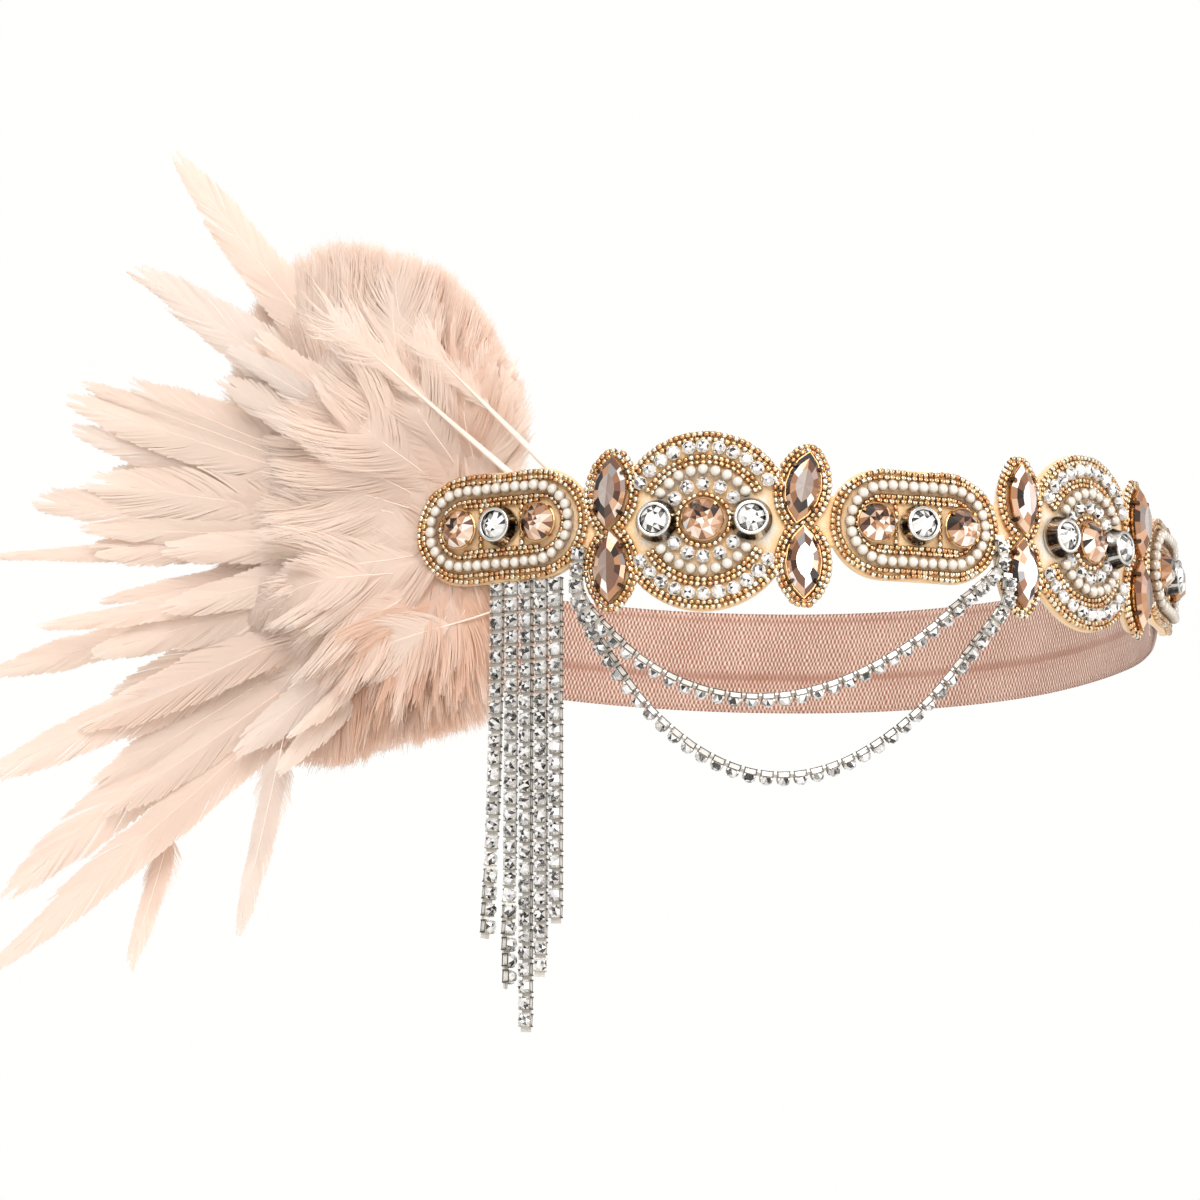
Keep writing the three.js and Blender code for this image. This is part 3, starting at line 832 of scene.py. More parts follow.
def pairRopes(motif):
    ropes = []
    for side in (1, -1):
        lean = math.radians(motif.extra if side > 0 else 0.0)
        for offset in seedBead["navetteOffsets"]:
            x, y = navetteOutline(1.0, seedBead["navetteSteps"], offset).T
            along = motif.along + x * math.cos(lean) - y * math.sin(lean)
            height = side * pair["stoneRise"] + x * math.sin(lean) + y * math.cos(lean)
            start = int(np.argmin(side * height))
            along, height = np.roll(along, -start), np.roll(height, -start)
            keep = side * height > seedBead["navetteGap"]  # the two rings of a pair meet in the middle
            ropes.append(onFace((along[keep], motif.rise + height[keep]), seedBead["out"], False))
    return ropes


barrel = [  # along, radius with 0 for the hole's, end shade
    (-0.5, 0.0, 1.0), (-0.5, 0.72, 0.85), (-0.22, 1.0, 0.0),
    (0.22, 1.0, 0.0), (0.5, 0.72, 0.85), (0.5, 0.0, 1.0),
]


def ringBead(radius, length, hole, sides=8):  # a barrel on the X axis, with its hole
    x, r, shade = np.repeat(barrel, sides, 0).T
    r = np.maximum(r, hole) * radius
    angle = np.tile(2 * np.pi * np.arange(sides) / sides, len(barrel))
    points = np.stack([x * length, r * np.cos(angle), r * np.sin(angle)], -1)
    inside = gridFaces(2, sides)
    inside[:, 2:] += sides * (len(barrel) - 2)
    faces = [gridFaces(len(barrel), sides), inside[:, ::-1]]
    return arrayMesh("seed_bead", points, faces, True, {"endShade": shade})


def pearlBall():
    radius, sides, rows = pearls["radius"], pearls["sides"], pearls["rows"]
    polar = np.linspace(0, np.pi, rows + 1)[1:-1]
    rings = [(radius * math.sin(p), radius * math.cos(p), sides, 0.0) for p in polar]
    points = ringPoints(rings + [(0.0, radius, 1, 0.0), (0.0, -radius, 1, 0.0)])
    top, low, last = len(points) - 2, len(points) - 1, (rows - 2) * sides
    caps = np.concatenate([fanFaces(top, 0, sides), fanFaces(low, last, sides, True)])
    # painted shade: darker towards the rim, as the pearl is seen from its face
    rim = smoothstep(1 - points[:, 2] / radius, *pearls["rim"])
    faces = [gridFaces(rows - 1, sides)[:, ::-1], caps]
    return arrayMesh("ball", points, faces, True, {"rimShade": rim})


ropes = []
for motifGroup, ropesOf in ((ovals, ovalRopes), (rounds, roundRopes), (pairs, pairRopes)):
    for motif in motifGroup:
        ropes += ropesOf(motif)
seedMesh = ringBead(seedBead["radius"], seedBead["length"], seedBead["hole"])
stringOn("seed_beads", ropes, seedMesh, "bead", seedBead)
pearlOut = band["gap"] + pearls["radius"]
pearlRopes = [
    onFace(outlinePath(m, m.extra - oval["pearlInset"], oval["pearlRise"]), pearlOut) for m in ovals
] + [
    onFace(arcPath(m, *arcs["pearls"], side), pearlOut, False) for m in rounds for side in (1, -1)
]
stringOn("pearl_strings", pearlRopes, pearlBall(), "pearl", pearls, nodesWith("pearls_"))
print("headpiece: seed beads and pearls strung")


# Small crystals: a faceted stone and its cup, repeated along arcs and chains

gem = {"sides": 6, "foot": 0.55, "table": 0.58, "seed": 3, "toneSpan": 0.99}
crystals = {
    "radius": 1.32, "girdle": 0.95, "top": 1.75, "base": 0.3,
    "pitch": 2.8, "seed": 21, "spread": 0.04, "scatter": 0.1, "roll": 6.2,
}
roundCup = {
    "radius": 1.42, "depth": 0.85, "sides": 8, "bed": 0.8, "footTone": 0.5, "tone": 0.1, "roll": 1.5,
    "profile": [(0.72, 0.0), (0.98, 0.75), (1.0, 1.0), (0.84, 1.0)],  # shares of the radius and the depth
    "prongs": 4, "prongReach": 0.86, "prongHalf": 0.2, "prongFrom": 0.6, "prongOver": 0.55, "prongTaper": 0.6,
}


def smallStone(size, level=0):
    sides, radius = gem["sides"], size["radius"]
    girdle, top, base = size["girdle"], size["top"], size["base"]
    points = ringPoints([
        (gem["foot"] * radius, base, sides, 0.5), (radius, girdle, sides, 0.5),
        (gem["table"] * radius, top, sides, 0.0), (0.0, base, 1, 0.0), (0.0, top, 1, 0.0),
    ])
    floor, roof = len(points) - 2, len(points) - 1
    faces = []
    for k in range(sides):
        n = (k + 1) % sides
        low, lowNext, mid, midNext = k, n, sides + k, sides + n
        high, highNext = 2 * sides + k, 2 * sides + n
        faces += [[floor, lowNext, low], [low, lowNext, midNext], [low, midNext, mid]]
        faces += [[mid, midNext, highNext], [mid, highNext, high], [roof, high, highNext]]
    # painted reflection on each facet: a tone at random, lifted or lowered by the level
    tones = level + np.random.default_rng(gem["seed"]).random(len(faces)) * gem["toneSpan"]
    return arrayMesh("small_stone", points, [faces], False, None, {"facetTone": tones})


def boxAt(low, high, taper=1.0):
    (x0, y0, z0), (x1, y1, z1) = low, high
    cx, cy = (x0 + x1) / 2, (y0 + y1) / 2
    points = [(x, y, z0) for x, y in ((x0, y0), (x1, y0), (x1, y1), (x0, y1))]
    points += [(cx + (x - cx) * taper, cy + (y - cy) * taper, z1) for x, y, _ in points]
    faces = [[3, 2, 1, 0], [4, 5, 6, 7]] + [[k, (k + 1) % 4, 4 + (k + 1) % 4, 4 + k] for k in range(4)]
    return np.array(points), faces


def post(x, y, half, low, high, taper=1.0):
    return boxAt((x - half, y - half, low), (x + half, y + half, high), taper)


def roundCupMesh():
    heap = Heap()
    radius, depth, sides = roundCup["radius"], roundCup["depth"], roundCup["sides"]
    rings = [(r * radius, z * depth, sides, 0.0) for r, z in roundCup["profile"]]
    points = ringPoints(rings + [(0.0, 0.0, 1, 0.0), (0.0, depth * roundCup["bed"], 1, 0.0)])
    floor, last = len(rings) * sides, (len(rings) - 1) * sides
    faces = gridFaces(len(rings), sides).tolist() + endFaces(floor, floor + 1, last, sides)
    tones = [roundCup["footTone"]] * sides + [roundCup["tone"]] * (len(faces) - sides)
    heap.add(points, faces, tones)
    reach, half = radius * roundCup["prongReach"], roundCup["prongHalf"]
    low, high = depth * roundCup["prongFrom"], depth + roundCup["prongOver"]
    for k in range(roundCup["prongs"]):
        a = math.pi / 4 + k * math.pi / 2
        box = post(reach * math.cos(a), reach * math.sin(a), half, low, high, roundCup["prongTaper"])
        heap.add(*box, [roundCup["tone"]] * 6)
    return heap.mesh("round_cup", "wallShade")


crystalRopes = []
for motif in rounds:
    for key in ("crystals_inner", "crystals_outer"):
        for side in (1, -1):
            crystalRopes.append(onFace(arcPath(motif, *arcs[key], side), band["gap"], False))
cupString = {**crystals, "roll": roundCup["roll"]}
arcNodes = nodesWith("crystals_")
stringOn("arc_crystal_cups", crystalRopes, roundCupMesh(), "silver", cupString, arcNodes)
stringOn("arc_crystals", crystalRopes, smallStone(crystals), "crystal", crystals)
print("headpiece: arc crystals set")


# The chain fringe and the two swags

chain = {"half": 1.25, "depth": 1.3, "seat": 0.9, "pitch": 3.15, "seed": 31}
chainStone = {
    "radius": 1.36, "girdle": 1.45, "top": 2.4, "base": 0.9,
    # levels below 0 make the facets mostly dark, as painted reflection; the swags' stones are darkest
    "roll": 6.2, "fringeLevel": -0.7, "swagLevel": -1,
}
squareCup = {  # reaches are shares of the half width, and tones go under, over, then round the sides; the tones are painted shade, darkest on the edge bands' sides and the corner posts
    "wall": 0.86, "flare": 1.12, "wallTones": [0.6, 0.1, 0.15, 0.15, 0.15, 0.15],
    "footEdge": 0.9, "rimEdge": 1.0, "rimDrop": 0.16, "edgeHigh": 0.22,
    "edgeTones": [0.6, 0.0, 1.0, 1.0, 1.0, 1.0],
    "corner": 0.92, "cornerHalf": 0.13, "cornerPaintedShade": 1.0,
    "prong": 0.78, "prongHalf": 0.27, "prongFrom": 0.4, "prongOver": 0.45, "prongTaper": 0.7,
    "prongTones": [0.9, 0.05, 0.6, 0.6, 0.6, 0.6],
    "linkFrom": 0.7, "linkHalf": 1.0, "linkLow": 0.12, "linkHigh": 0.5,
    "linkTones": [0.5, 0.1, 0.2, 0.4, 0.2, 0.4],
}
fringe = {
    "first": -1.7, "pitch": 3.3, "halfCup": 1.3, "topGap": 0.95, "endGap": 2.25, "out": -0.8, "points": 60,
    "lengths": [68.0, 78.0, 86.5, 76.0, 66.0], "lean": [-1.8, -0.5, 0.0, 0.0, 0.0],
    "twistFrom": [0.62, 0.66, 0.97, 0.9, 0.95], "twistTo": 1.05, "twist": [75.0, 95.0, 40.0, 30.0, 20.0],
    "yaw": [6.0, 14.0, -4.0, 8.0, -6.0],
}
swags = [  # left and right: along, top, end, out; then drop and skew
    ((-66.6, -5.6, -13.6, 1.8), (17.6, -3.0, -6.8, 1.8), 23.0, 0.88),
    ((-68.2, -8.2, -14.0, -1.1), (18.8, -10.4, -13.2, 2.4), 35.0, 0.92),
]
swagHang = {"knots": 11, "step": 0.8, "rollUnder": 78.0, "rollFrom": 0.1, "rollTo": 0.75}


def squareCupMesh():  # a chain cup with corner prongs and the bar to the next one
    cup = squareCup
    half, depth = chain["half"], chain["depth"]
    heap = Heap()
    heap.add(*post(0.0, 0.0, half * cup["wall"], 0.0, depth, cup["flare"]), cup["wallTones"])
    # dark bands at the foot and the rim: painted shade along the cup's edges
    for level, reach in ((0.0, cup["footEdge"]), (depth - cup["rimDrop"], cup["rimEdge"])):
        edge = post(0.0, 0.0, half * reach, level, level + cup["edgeHigh"])
        heap.add(*edge, cup["edgeTones"])
    for x in (-1, 1):
        for y in (-1, 1):
            # a thin dark post in each corner: painted shade between the cup's walls
            reach = half * cup["corner"]
            heap.add(*post(x * reach, y * reach, cup["cornerHalf"], 0.0, depth), [cup["cornerPaintedShade"]] * 6)
            reach = half * cup["prong"]
            low, high = depth * cup["prongFrom"], depth + cup["prongOver"]
            prongBox = post(x * reach, y * reach, cup["prongHalf"], low, high, cup["prongTaper"])
            heap.add(*prongBox, cup["prongTones"])
    start, end = half * cup["linkFrom"], chain["pitch"] - half * cup["linkFrom"]
    link = boxAt((start, -cup["linkHalf"], cup["linkLow"]), (end, cup["linkHalf"], cup["linkHigh"]))
    heap.add(*link, cup["linkTones"])
    return heap.mesh("chain_cup", "wallShade")


def turnedAbout(vectors, axis, degrees):
    angle = np.radians(degrees)[..., None]
    return vectors * np.cos(angle) + np.cross(axis, vectors) * np.sin(angle)


def fringeRopes():
    ropes = []
    count = fringe["points"]
    share = np.linspace(0.0, 1.0, count)
    for k, length in enumerate(fringe["lengths"]):
        along = ovals[0].along + fringe["first"] + fringe["pitch"] * k
        edge = min(edgesOf(along + d)[0] for d in (-fringe["halfCup"], 0.0, fringe["halfCup"]))
        hang = edge - band["gap"] - fringe["topGap"] - (length - fringe["endGap"]) * share
        line = onBand(along + fringe["lean"][k] * share ** 2, hang, fringe["out"])
        turn = smoothstep(share, fringe["twistFrom"][k], fringe["twistTo"])
        twist = fringe["yaw"][k] + fringe["twist"][k] * turn
        facing = turnedAbout(outward(np.full(count, along)), np.tile(upward, (count, 1)), twist)
        ropes.append((line - facing * chain["seat"], facing, False))
    return ropes


def swagRopes():
    ropes = []
    for left, right, drop, skew in swags:
        a = onBand(left[0], left[2], left[3])
        b = onBand(right[0], right[2], right[3])
        share = np.linspace(0.0, 1.0, swagHang["knots"])
        hang = a + (b - a) * share[:, None]
        bent = share ** skew
        hang[:, 2] -= drop * 4 * bent * (1 - bent)
        knots = np.vstack([onBand(left[0], left[1], left[3]), hang, onBand(right[0], right[1], right[3])])
        line, _ = smoothPath(knots, swagHang["step"])
        heading = unit(np.gradient(line, axis=0))
        share = np.linspace(0.0, 1.0, len(line))
        forward = unit(outward(left[0]) * (1 - share)[:, None] + outward(right[0]) * share[:, None])
        facing = unit(forward - heading * np.sum(forward * heading, -1, keepdims=True))
        free = smoothstep(np.sin(np.pi * share), swagHang["rollFrom"], swagHang["rollTo"])
        under = swagHang["rollUnder"] * free  # the stones roll under where the chain hangs free
        facing = turnedAbout(facing, heading, under)
        ropes.append((line - facing * chain["seat"], facing, False))
    return ropes


strands, hungSwags = fringeRopes(), swagRopes()
chainNodes = nodesWith("fringe_", "swag_")
stringOn("chain_cups", strands + hungSwags, squareCupMesh(), "silver", chain, chainNodes)
stoneString = {**chain, "roll": chainStone["roll"]}
hung = [("fringe_stones", strands, "fringeLevel"), ("swag_stones", hungSwags, "swagLevel")]
for name, paths, level in hung:
    stringOn(name, paths, smallStone(chainStone, chainStone[level]), "crystal", stoneString)
print("headpiece: fringe and swags hung")


# The large stones

cut = {"lit": 0.48, "leanLit": 0.34, "toneSpread": 0.3, "turn": 45}
stone = {
    "ovalRadius": 3.65, "roundRadius": 3.95, "girdle": 1.9, "top": 3.6, "base": 0.6,
    "lightSpread": 0.7, "seed": 41, "sides": 24,
    "cup": [  # out from the stone, height, tone
        (-0.5, 0.0, 0.7), (0.12, 1.2, 0.4), (0.3, 1.7, 0.0), (0.1, 1.82, 0.1), (-0.4, 1.6, 0.9),
    ],
    "claw": (1.0, 2.35, 0.34), "clawSpread": 8, "clawTone": 0.2,
}
bezel = {
    "radius": 2.7, "ovalFoot": 3.9, "roundFoot": 4.15, "sides": 32, "seed": 57,
    "footRows": [(-0.3, 0.0, 1.0), (0.0, 0.2, 0.5), (0.0, 0.7, 0.3), (-0.1, 1.0, 1.0)],
    "rimRows": [
        (0.9, 2.0, 1.0), (0.72, 3.05, 1.0), (0.66, 3.28, 0.1), (0.54, 3.42, 0.0), (0.14, 3.44, 0.0),
        (0.04, 3.3, 0.1), (0.0, 2.95, 0.9), (-0.05, 2.7, 1.0),
    ],
    "streaks": [  # place and width in degrees, share
        (150.0, 20.0, 0.9), (-65.0, 14.0, 0.8), (20.0, 9.0, 0.5), (-140.0, 8.0, 0.7),
    ],
    "streakFrom": 0.5, "gemInset": 0.1, "girdle": 2.95, "top": 4.0, "base": 2.3,
    "eye": 0.4, "eyeLevel": 1.0, "rimLevel": -0.5,
}
claw = {  # out from the girdle, share of the height, over it, and size of each row
    "rows": [(0.28, 0.0, 0.0, 1.0), (0.3, 0.5, 0.0, 1.0), (0.02, 1.0, 0.0, 0.9), (-0.45, 1.0, 0.12, 0.55)],
    "slant": 0.7, "flat": 0.55,
}
latheEnd = 0.8  # the tone of the faces that close a turned shape


def cutStone(radius, size, dice, lightFrom):
    girdle, top, base = size["girdle"], size["top"], size["base"]
    rings = [  # share of the radius, height, sides, turn
        (0.0, top - 0.22, 1, 0.0), (0.3, top - 0.03, 8, 0.5), (0.58, top, 8, 0.0), (1.0, girdle, 16, 0.5),
        (0.96, girdle - 0.35, 16, 0.5), (0.5, base, 16, 0.5), (0.0, base, 1, 0.0),
    ]
    points = ringPoints([(share * radius, *rest) for share, *rest in rings])
    eye, inner, table, rim, under, foot, floor = np.cumsum([0] + [r[2] for r in rings[:-1]]).tolist()
    faces = []
    for k in range(8):
        n = (k + 1) % 8
        faces += [[eye, inner + k, inner + n]]
        faces += [[inner + k, table + n, inner + n], [table + k, table + n, inner + k]]
        a, b, c = rim + (2 * k - 1) % 16, rim + 2 * k, rim + (2 * k + 1) % 16
        faces += [[table + k, a, b], [table + k, b, c], [table + k, c, table + n]]
    for k in range(16):
        n = (k + 1) % 16
        faces += [[rim + k, under + k, under + n, rim + n], [under + k, foot + k, foot + n, under + n]]
        faces += [[foot + k, floor, foot + n]]
    # painted light and reflection: facets on the side the light is taken to come from are brighter, with tone
    # at random
    tones = []
    for face in faces:
        x, y, _ = points[face].mean(0)
        lean = math.cos(math.atan2(y, x) - lightFrom) if x or y else 0.0
        tone = cut["lit"] + cut["leanLit"] * lean + dice.normal(0, cut["toneSpread"])
        tones.append(min(1.0, max(0.0, tone)))
    return points, faces, tones


def latheFaces(profile, sides, streaks=()):  # profile: radius, height, tone
    bands = len(profile) - 1
    ends = [(0.0, profile[0][1], 1, 0.0), (0.0, profile[-1][1], 1, 0.0)]
    points = ringPoints([(r, z, sides, 0.0) for r, z, _ in profile] + ends)
    tones = np.repeat([(profile[k][2] + profile[k + 1][2]) / 2 for k in range(bands)], sides)
    way = np.tile(2 * np.pi * (np.arange(sides) + 0.5) / sides, bands)
    for at, wide, share in streaks:  # light that a polished wall throws back
        off = np.angle(np.exp(1j * (way - math.radians(at))))
        dark = tones > bezel["streakFrom"]
        tones = tones * (1 - share * np.exp(-(off / math.radians(wide)) ** 2) * dark)
    floor, last = len(profile) * sides, bands * sides
    faces = gridFaces(len(profile), sides).tolist() + endFaces(floor, floor + 1, last, sides)
    return points, faces, tones.tolist() + [latheEnd] * (2 * sides)


def prong(radius, angle, low, high, size):  # a claw that leans over the girdle
    a = math.radians(angle)
    out = np.array([math.cos(a), math.sin(a), 0.0])
    across = np.array([-math.sin(a), math.cos(a), 0.0])
    slanted = (out * claw["slant"] + upward * claw["slant"]) * claw["flat"]
    points = []
    for past, share, over, k in claw["rows"]:
        middle = out * (radius + past) + upward * (low + (high - low) * share + over)
        for sx, sy in ((-1, -1), (1, -1), (1, 1), (-1, 1)):
            points.append(middle + across * sx * size * k + slanted * sy * size * k)
    faces = gridFaces(len(claw["rows"]), 4)[:, ::-1].tolist() + [[0, 1, 2, 3], [15, 14, 13, 12]]
    return np.array(points), faces


def makeRoundStones():
    gems, cups = Heap(), Heap()
    dice = np.random.default_rng(stone["seed"])
    aside = oval["stoneSpacing"]
    places = [(m.along + side * aside, m.rise, stone["ovalRadius"]) for m in ovals for side in (-1, 1)]
    places += [(m.along, m.rise, stone["roundRadius"]) for m in rounds]
    for along, height, radius in places:
        # the side the facets' painted light comes from: below, give or take
        lit = -math.pi / 2 + dice.uniform(-stone["lightSpread"], stone["lightSpread"])
        points, faces, tones = cutStone(radius, stone, dice, lit)
        gems.add(seated(points, along, height, dice.uniform(0, cut["turn"])), faces, tones)
        points, faces, tones = latheFaces([(radius + r, z, t) for r, z, t in stone["cup"]], stone["sides"])
        cups.add(seated(points, along, height), faces, tones)
        for k in range(4):
            turn = 45 + 90 * k + dice.uniform(-stone["clawSpread"], stone["clawSpread"])
            points, faces = prong(radius, turn, *stone["claw"])
            cups.add(seated(points, along, height), faces, [stone["clawTone"]] * len(faces))
    mesh = gems.mesh("round_stones", "facetTone")
    addPiece("round_stones", mesh, "champagne", nodesWith("stone_"))
    addPiece("round_stone_cups", cups.mesh("round_stone_cups", "wallShade"), "setting")


def makeBezels():
    gems, rims = Heap(), Heap()
    dice = np.random.default_rng(bezel["seed"])
    radius, aside = bezel["radius"], roundel["bezelSpacing"]
    places = [(m.along, m.rise, bezel["ovalFoot"]) for m in ovals]
    places += [(m.along + side * aside, m.rise, bezel["roundFoot"]) for m in rounds for side in (-1, 1)]
    for along, height, foot in places:
        profile = [(foot + r, z, t) for r, z, t in bezel["footRows"]]
        profile += [(radius + r, z, t) for r, z, t in bezel["rimRows"]]
        points, faces, tones = latheFaces(profile, bezel["sides"], bezel["streaks"])
        rims.add(seated(points, along, height), faces, tones)
        points, faces, _ = cutStone(radius - bezel["gemInset"], bezel, dice, 0.0)
        # painted reflection: the crystal's middle facets are mostly bright and its outer ones mostly dark
        inEye = np.hypot(*points[[f[0] for f in faces], :2].T) < radius * bezel["eye"]
        level = np.where(inEye, bezel["eyeLevel"], bezel["rimLevel"])
        tones = level + dice.random(len(faces)) * gem["toneSpan"]
        gems.add(seated(points, along, height, dice.uniform(0, cut["turn"])), faces, tones, dice.random())
    mesh = rims.mesh("bezel_rims", "wallShade", True)
    addPiece("bezel_rims", mesh, "antique", nodesWith("bezel_"))
    addPiece("bezel_crystals", gems.mesh("bezel_crystals", "facetTone"), "crystal")


def navettePoints(rings, low, high):  # the rings, then the middles of the first and last face
    points = []
    for scale, height in rings:
        flat = navetteOutline(scale, navette["perSide"])
        points.append(np.hstack([flat, np.full((len(flat), 1), height)]))
    return np.vstack(points + [[[0, 0, low], [0, 0, high]]])


def navetteGem(side, tableTone, tilt, dice):
    rings, count = navette["gem"], 2 * navette["perSide"]
    points = navettePoints(rings, rings[0][1], rings[-1][1])
    points[:count, 2] += tilt * points[:count, 0]
    faces = gridFaces(len(rings), count)[:, ::-1].tolist()
    # painted reflection on the crown facets, brighter towards the tips
    tones = []
    for face in faces:
        way = points[face].mean(0)[1] / navette["halfLength"]
        tone = navette["crownTone"] + navette["tipTone"] * abs(way) ** navette["tipPower"]
        tones.append(min(1.0, tone - navette["upTone"] * side * way + dice.normal(0, navette["toneSpread"])))
    roof, floor, last = len(points) - 2, len(points) - 1, (len(rings) - 1) * count
    for k in range(count):
        n = (k + 1) % count
        faces += [[roof, k, n], [floor, last + n, last + k]]
        half = navette["halfTone"] if points[k][0] + points[n][0] > 0 else -navette["halfTone"]
        tones += [tableTone + half + dice.normal(0, navette["tableSpread"]), navette["underTone"]]
    return points, faces, np.clip(tones, 0, 2)


def makeNavettes():
    gems, cups, claws = Heap(), Heap(), Heap()
    dice = np.random.default_rng(navette["seed"])
    rings, count = navette["cup"], 2 * navette["perSide"]
    cupPoints = navettePoints(rings, 0, navette["cupBed"])
    floor, last = len(rings) * count, (len(rings) - 1) * count
    cupFaces = gridFaces(len(rings), count).tolist() + endFaces(floor, floor + 1, last, count)
    for motif in pairs:
        for side, (tableTone, tilt) in zip((1, -1), navette["tables"][motif.name]):
            seat = (motif.along, motif.rise + side * pair["stoneRise"], motif.extra if side > 0 else 0.0)
            points, faces, tones = navetteGem(side, tableTone, tilt, dice)
            gems.add(seated(points, *seat), faces, tones)
            cups.add(seated(cupPoints, *seat), cupFaces, [navette["cupTone"]] * len(cupFaces))
            for x in (-1, 1):
                for y in (-1, 1):
                    ax = x * navette["halfWidth"] * navette["clawAside"]
                    ay = y * navette["halfLength"] * navette["clawAlong"]
                    turn = math.degrees(math.atan2(ay * navette["clawTurn"], ax))
                    points, faces = prong(0.0, turn, *navette["claw"])
                    points[:, :2] += (ax, ay)
                    claws.add(seated(points, *seat), faces, [navette["clawTone"]] * len(faces))
    mesh = gems.mesh("navette_stones", "facetTone")
    addPiece("navette_stones", mesh, "champagne", nodesWith("navette_"))
    addPiece("navette_cups", cups.mesh("navette_cups", "wallShade"), "setting")
    addPiece("navette_claws", claws.mesh("navette_claws", "wallShade"), "claw")


makeRoundStones()
makeBezels()
makeNavettes()
print("headpiece: stones set")


# The felt strip, cut in scallops round the motifs

felt = {
    "thickness": 1.6, "step": 0.4, "across": 30, "back": 8, "round": 0.5,
    "endInset": 0.1, "endTurn": 2.0, "endSteps": 10,
    "rim": [(0.3, -0.08), (0.05, -0.4), (0.05, -1.2), (0.3, -1.52)],  # share of the corner, out
    # how far the beads' painted light reaches on the felt, and how much amber the ground inside an oval takes
    "glowFull": 0.8, "glowEnd": 2.6, "groundInset": 11.15, "groundHalf": 5.5, "groundGlow": 0.9,
    "faceOut": -0.1,
}


def beadGlow(along, height, out, flat):  # painted amber light that the beads throw on the felt near them
    strung = ropes + crystalRopes
    tree = KDTree(sum(len(r[0]) for r in strung))
    for k, place in enumerate(np.concatenate([r[0] for r in strung])):
        tree.insert(place, k)
    tree.balance()
    near = np.array([tree.find(p)[2] for p in flat])
    glow = 1 - smoothstep(near, felt["glowFull"], felt["glowEnd"])
    for motif in ovals:  # the same amber is painted over the ground between an oval's stones
        across = np.abs(along - motif.along)[:, None] - (motif.extra - felt["groundInset"])
        inside = np.hypot(np.maximum(across, 0.0), height - motif.rise) < felt["groundHalf"]
        glow = np.maximum(glow, (inside & (out > felt["faceOut"])).ravel() * felt["groundGlow"])
    return glow


def makeFelt():
    start = ovals[0].along - ovals[0].extra + felt["endInset"]
    end = ovals[-1].along + ovals[-1].extra - felt["endInset"]
    deep, turn = felt["thickness"], felt["endTurn"]
    turnIn = turn * (1 - np.cos(np.linspace(0, np.pi / 2, felt["endSteps"], endpoint=False)))
    middle = np.arange(start + turn, end - turn, felt["step"])
    along = np.concatenate([start + turnIn, middle, (end - turnIn)[::-1]])
    low, high = np.array([edgesOf(a) for a in along]).T
    corner = np.minimum(felt["round"], (high - low) / 3)
    inner = high - low - 2 * corner
    rows = [(low + corner + inner * share, 0 * low) for share in np.linspace(0, 1, felt["across"])]
    rows += [(high - corner * inset, out + 0 * low) for inset, out in felt["rim"]]
    rows += [(low + corner + inner * share, -deep + 0 * low) for share in np.linspace(1, 0, felt["back"])]
    rows += [(low + corner * inset, out + 0 * low) for inset, out in reversed(felt["rim"])]
    height, out = (np.stack(values, 1) for values in zip(*rows))  # of each place round the section
    points = onBand(np.broadcast_to(along[:, None], height.shape), height, out)
    columns = height.shape[1]
    faces = gridFaces(len(along), columns)[:, ::-1]
    caps = np.array([np.arange(columns)[::-1], (len(along) - 1) * columns + np.arange(columns)])[:, ::-1]
    flat = points.reshape(-1, 3)
    glow = beadGlow(along, height, out, flat)
    mesh = arrayMesh("felt_strip", flat, [faces, caps], True, {"beadGlow": glow})
    area = float(np.sum((high - low)[:-1] * np.diff(along)))
    strip = addPiece("felt_strip", mesh, "felt", ["backing"])
    size = (float(high.max() - low.min()) * mm, (end - start) * mm)
    print("headpiece: felt strip, %.1f by %.1f mm, %.0f square mm" % (size[0] / mm, size[1] / mm, area))


makeFelt()


# Stitches that hold the elastic, on its inner face

stitch = {
    "radius": 0.2, "length": 1.7, "hole": 0.05, "sides": 6,
    "pitch": 2.3, "seed": 91, "spread": 0.15, "scatter": 0.06,
    "from": 2.0, "to": 13.0, "inset": 1.6, "behind": 0.85, "edgePoints": 24, "rungPoints": 20,
}


def stitchRopes():
    lines = []
    run = np.linspace(0, elasticLength, len(elasticLine))
    near, far, count = stitch["from"], stitch["to"], stitch["rungPoints"]
    for first, last in ((near, far), (elasticLength - far, elasticLength - near)):
        at = np.linspace(first, last, stitch["edgePoints"])
        middle, side = (
            np.stack([np.interp(at, run, rows[:, k]) for k in range(3)], -1)
            for rows in (elasticLine, elasticSide)
        )
        half = np.interp(at, run, elasticHalf) - stitch["inset"]
        level = np.interp(at, run, elasticMiddle)
        seam = middle - side * stitch["behind"]
        for sign in (-1, 1):
            edge = seam.copy()
            edge[:, 2] = level + sign * half
            lines.append((edge, -side, False))
        for end in (0, -1):
            rung = np.repeat(seam[end][None], count, 0)
            rung[:, 2] = level[end] + half[end] * np.linspace(-1, 1, count)
            lines.append((rung, np.repeat(-side[end][None], count, 0), False))
    return lines


stitchMesh = ringBead(stitch["radius"], stitch["length"], stitch["hole"], stitch["sides"])
stringOn("sewing_stitches", stitchRopes(), stitchMesh, "thread", stitch)
print("headpiece: stitches sewn")


# The plume: long hackles behind, downy feathers in front, all from one root behind the end oval

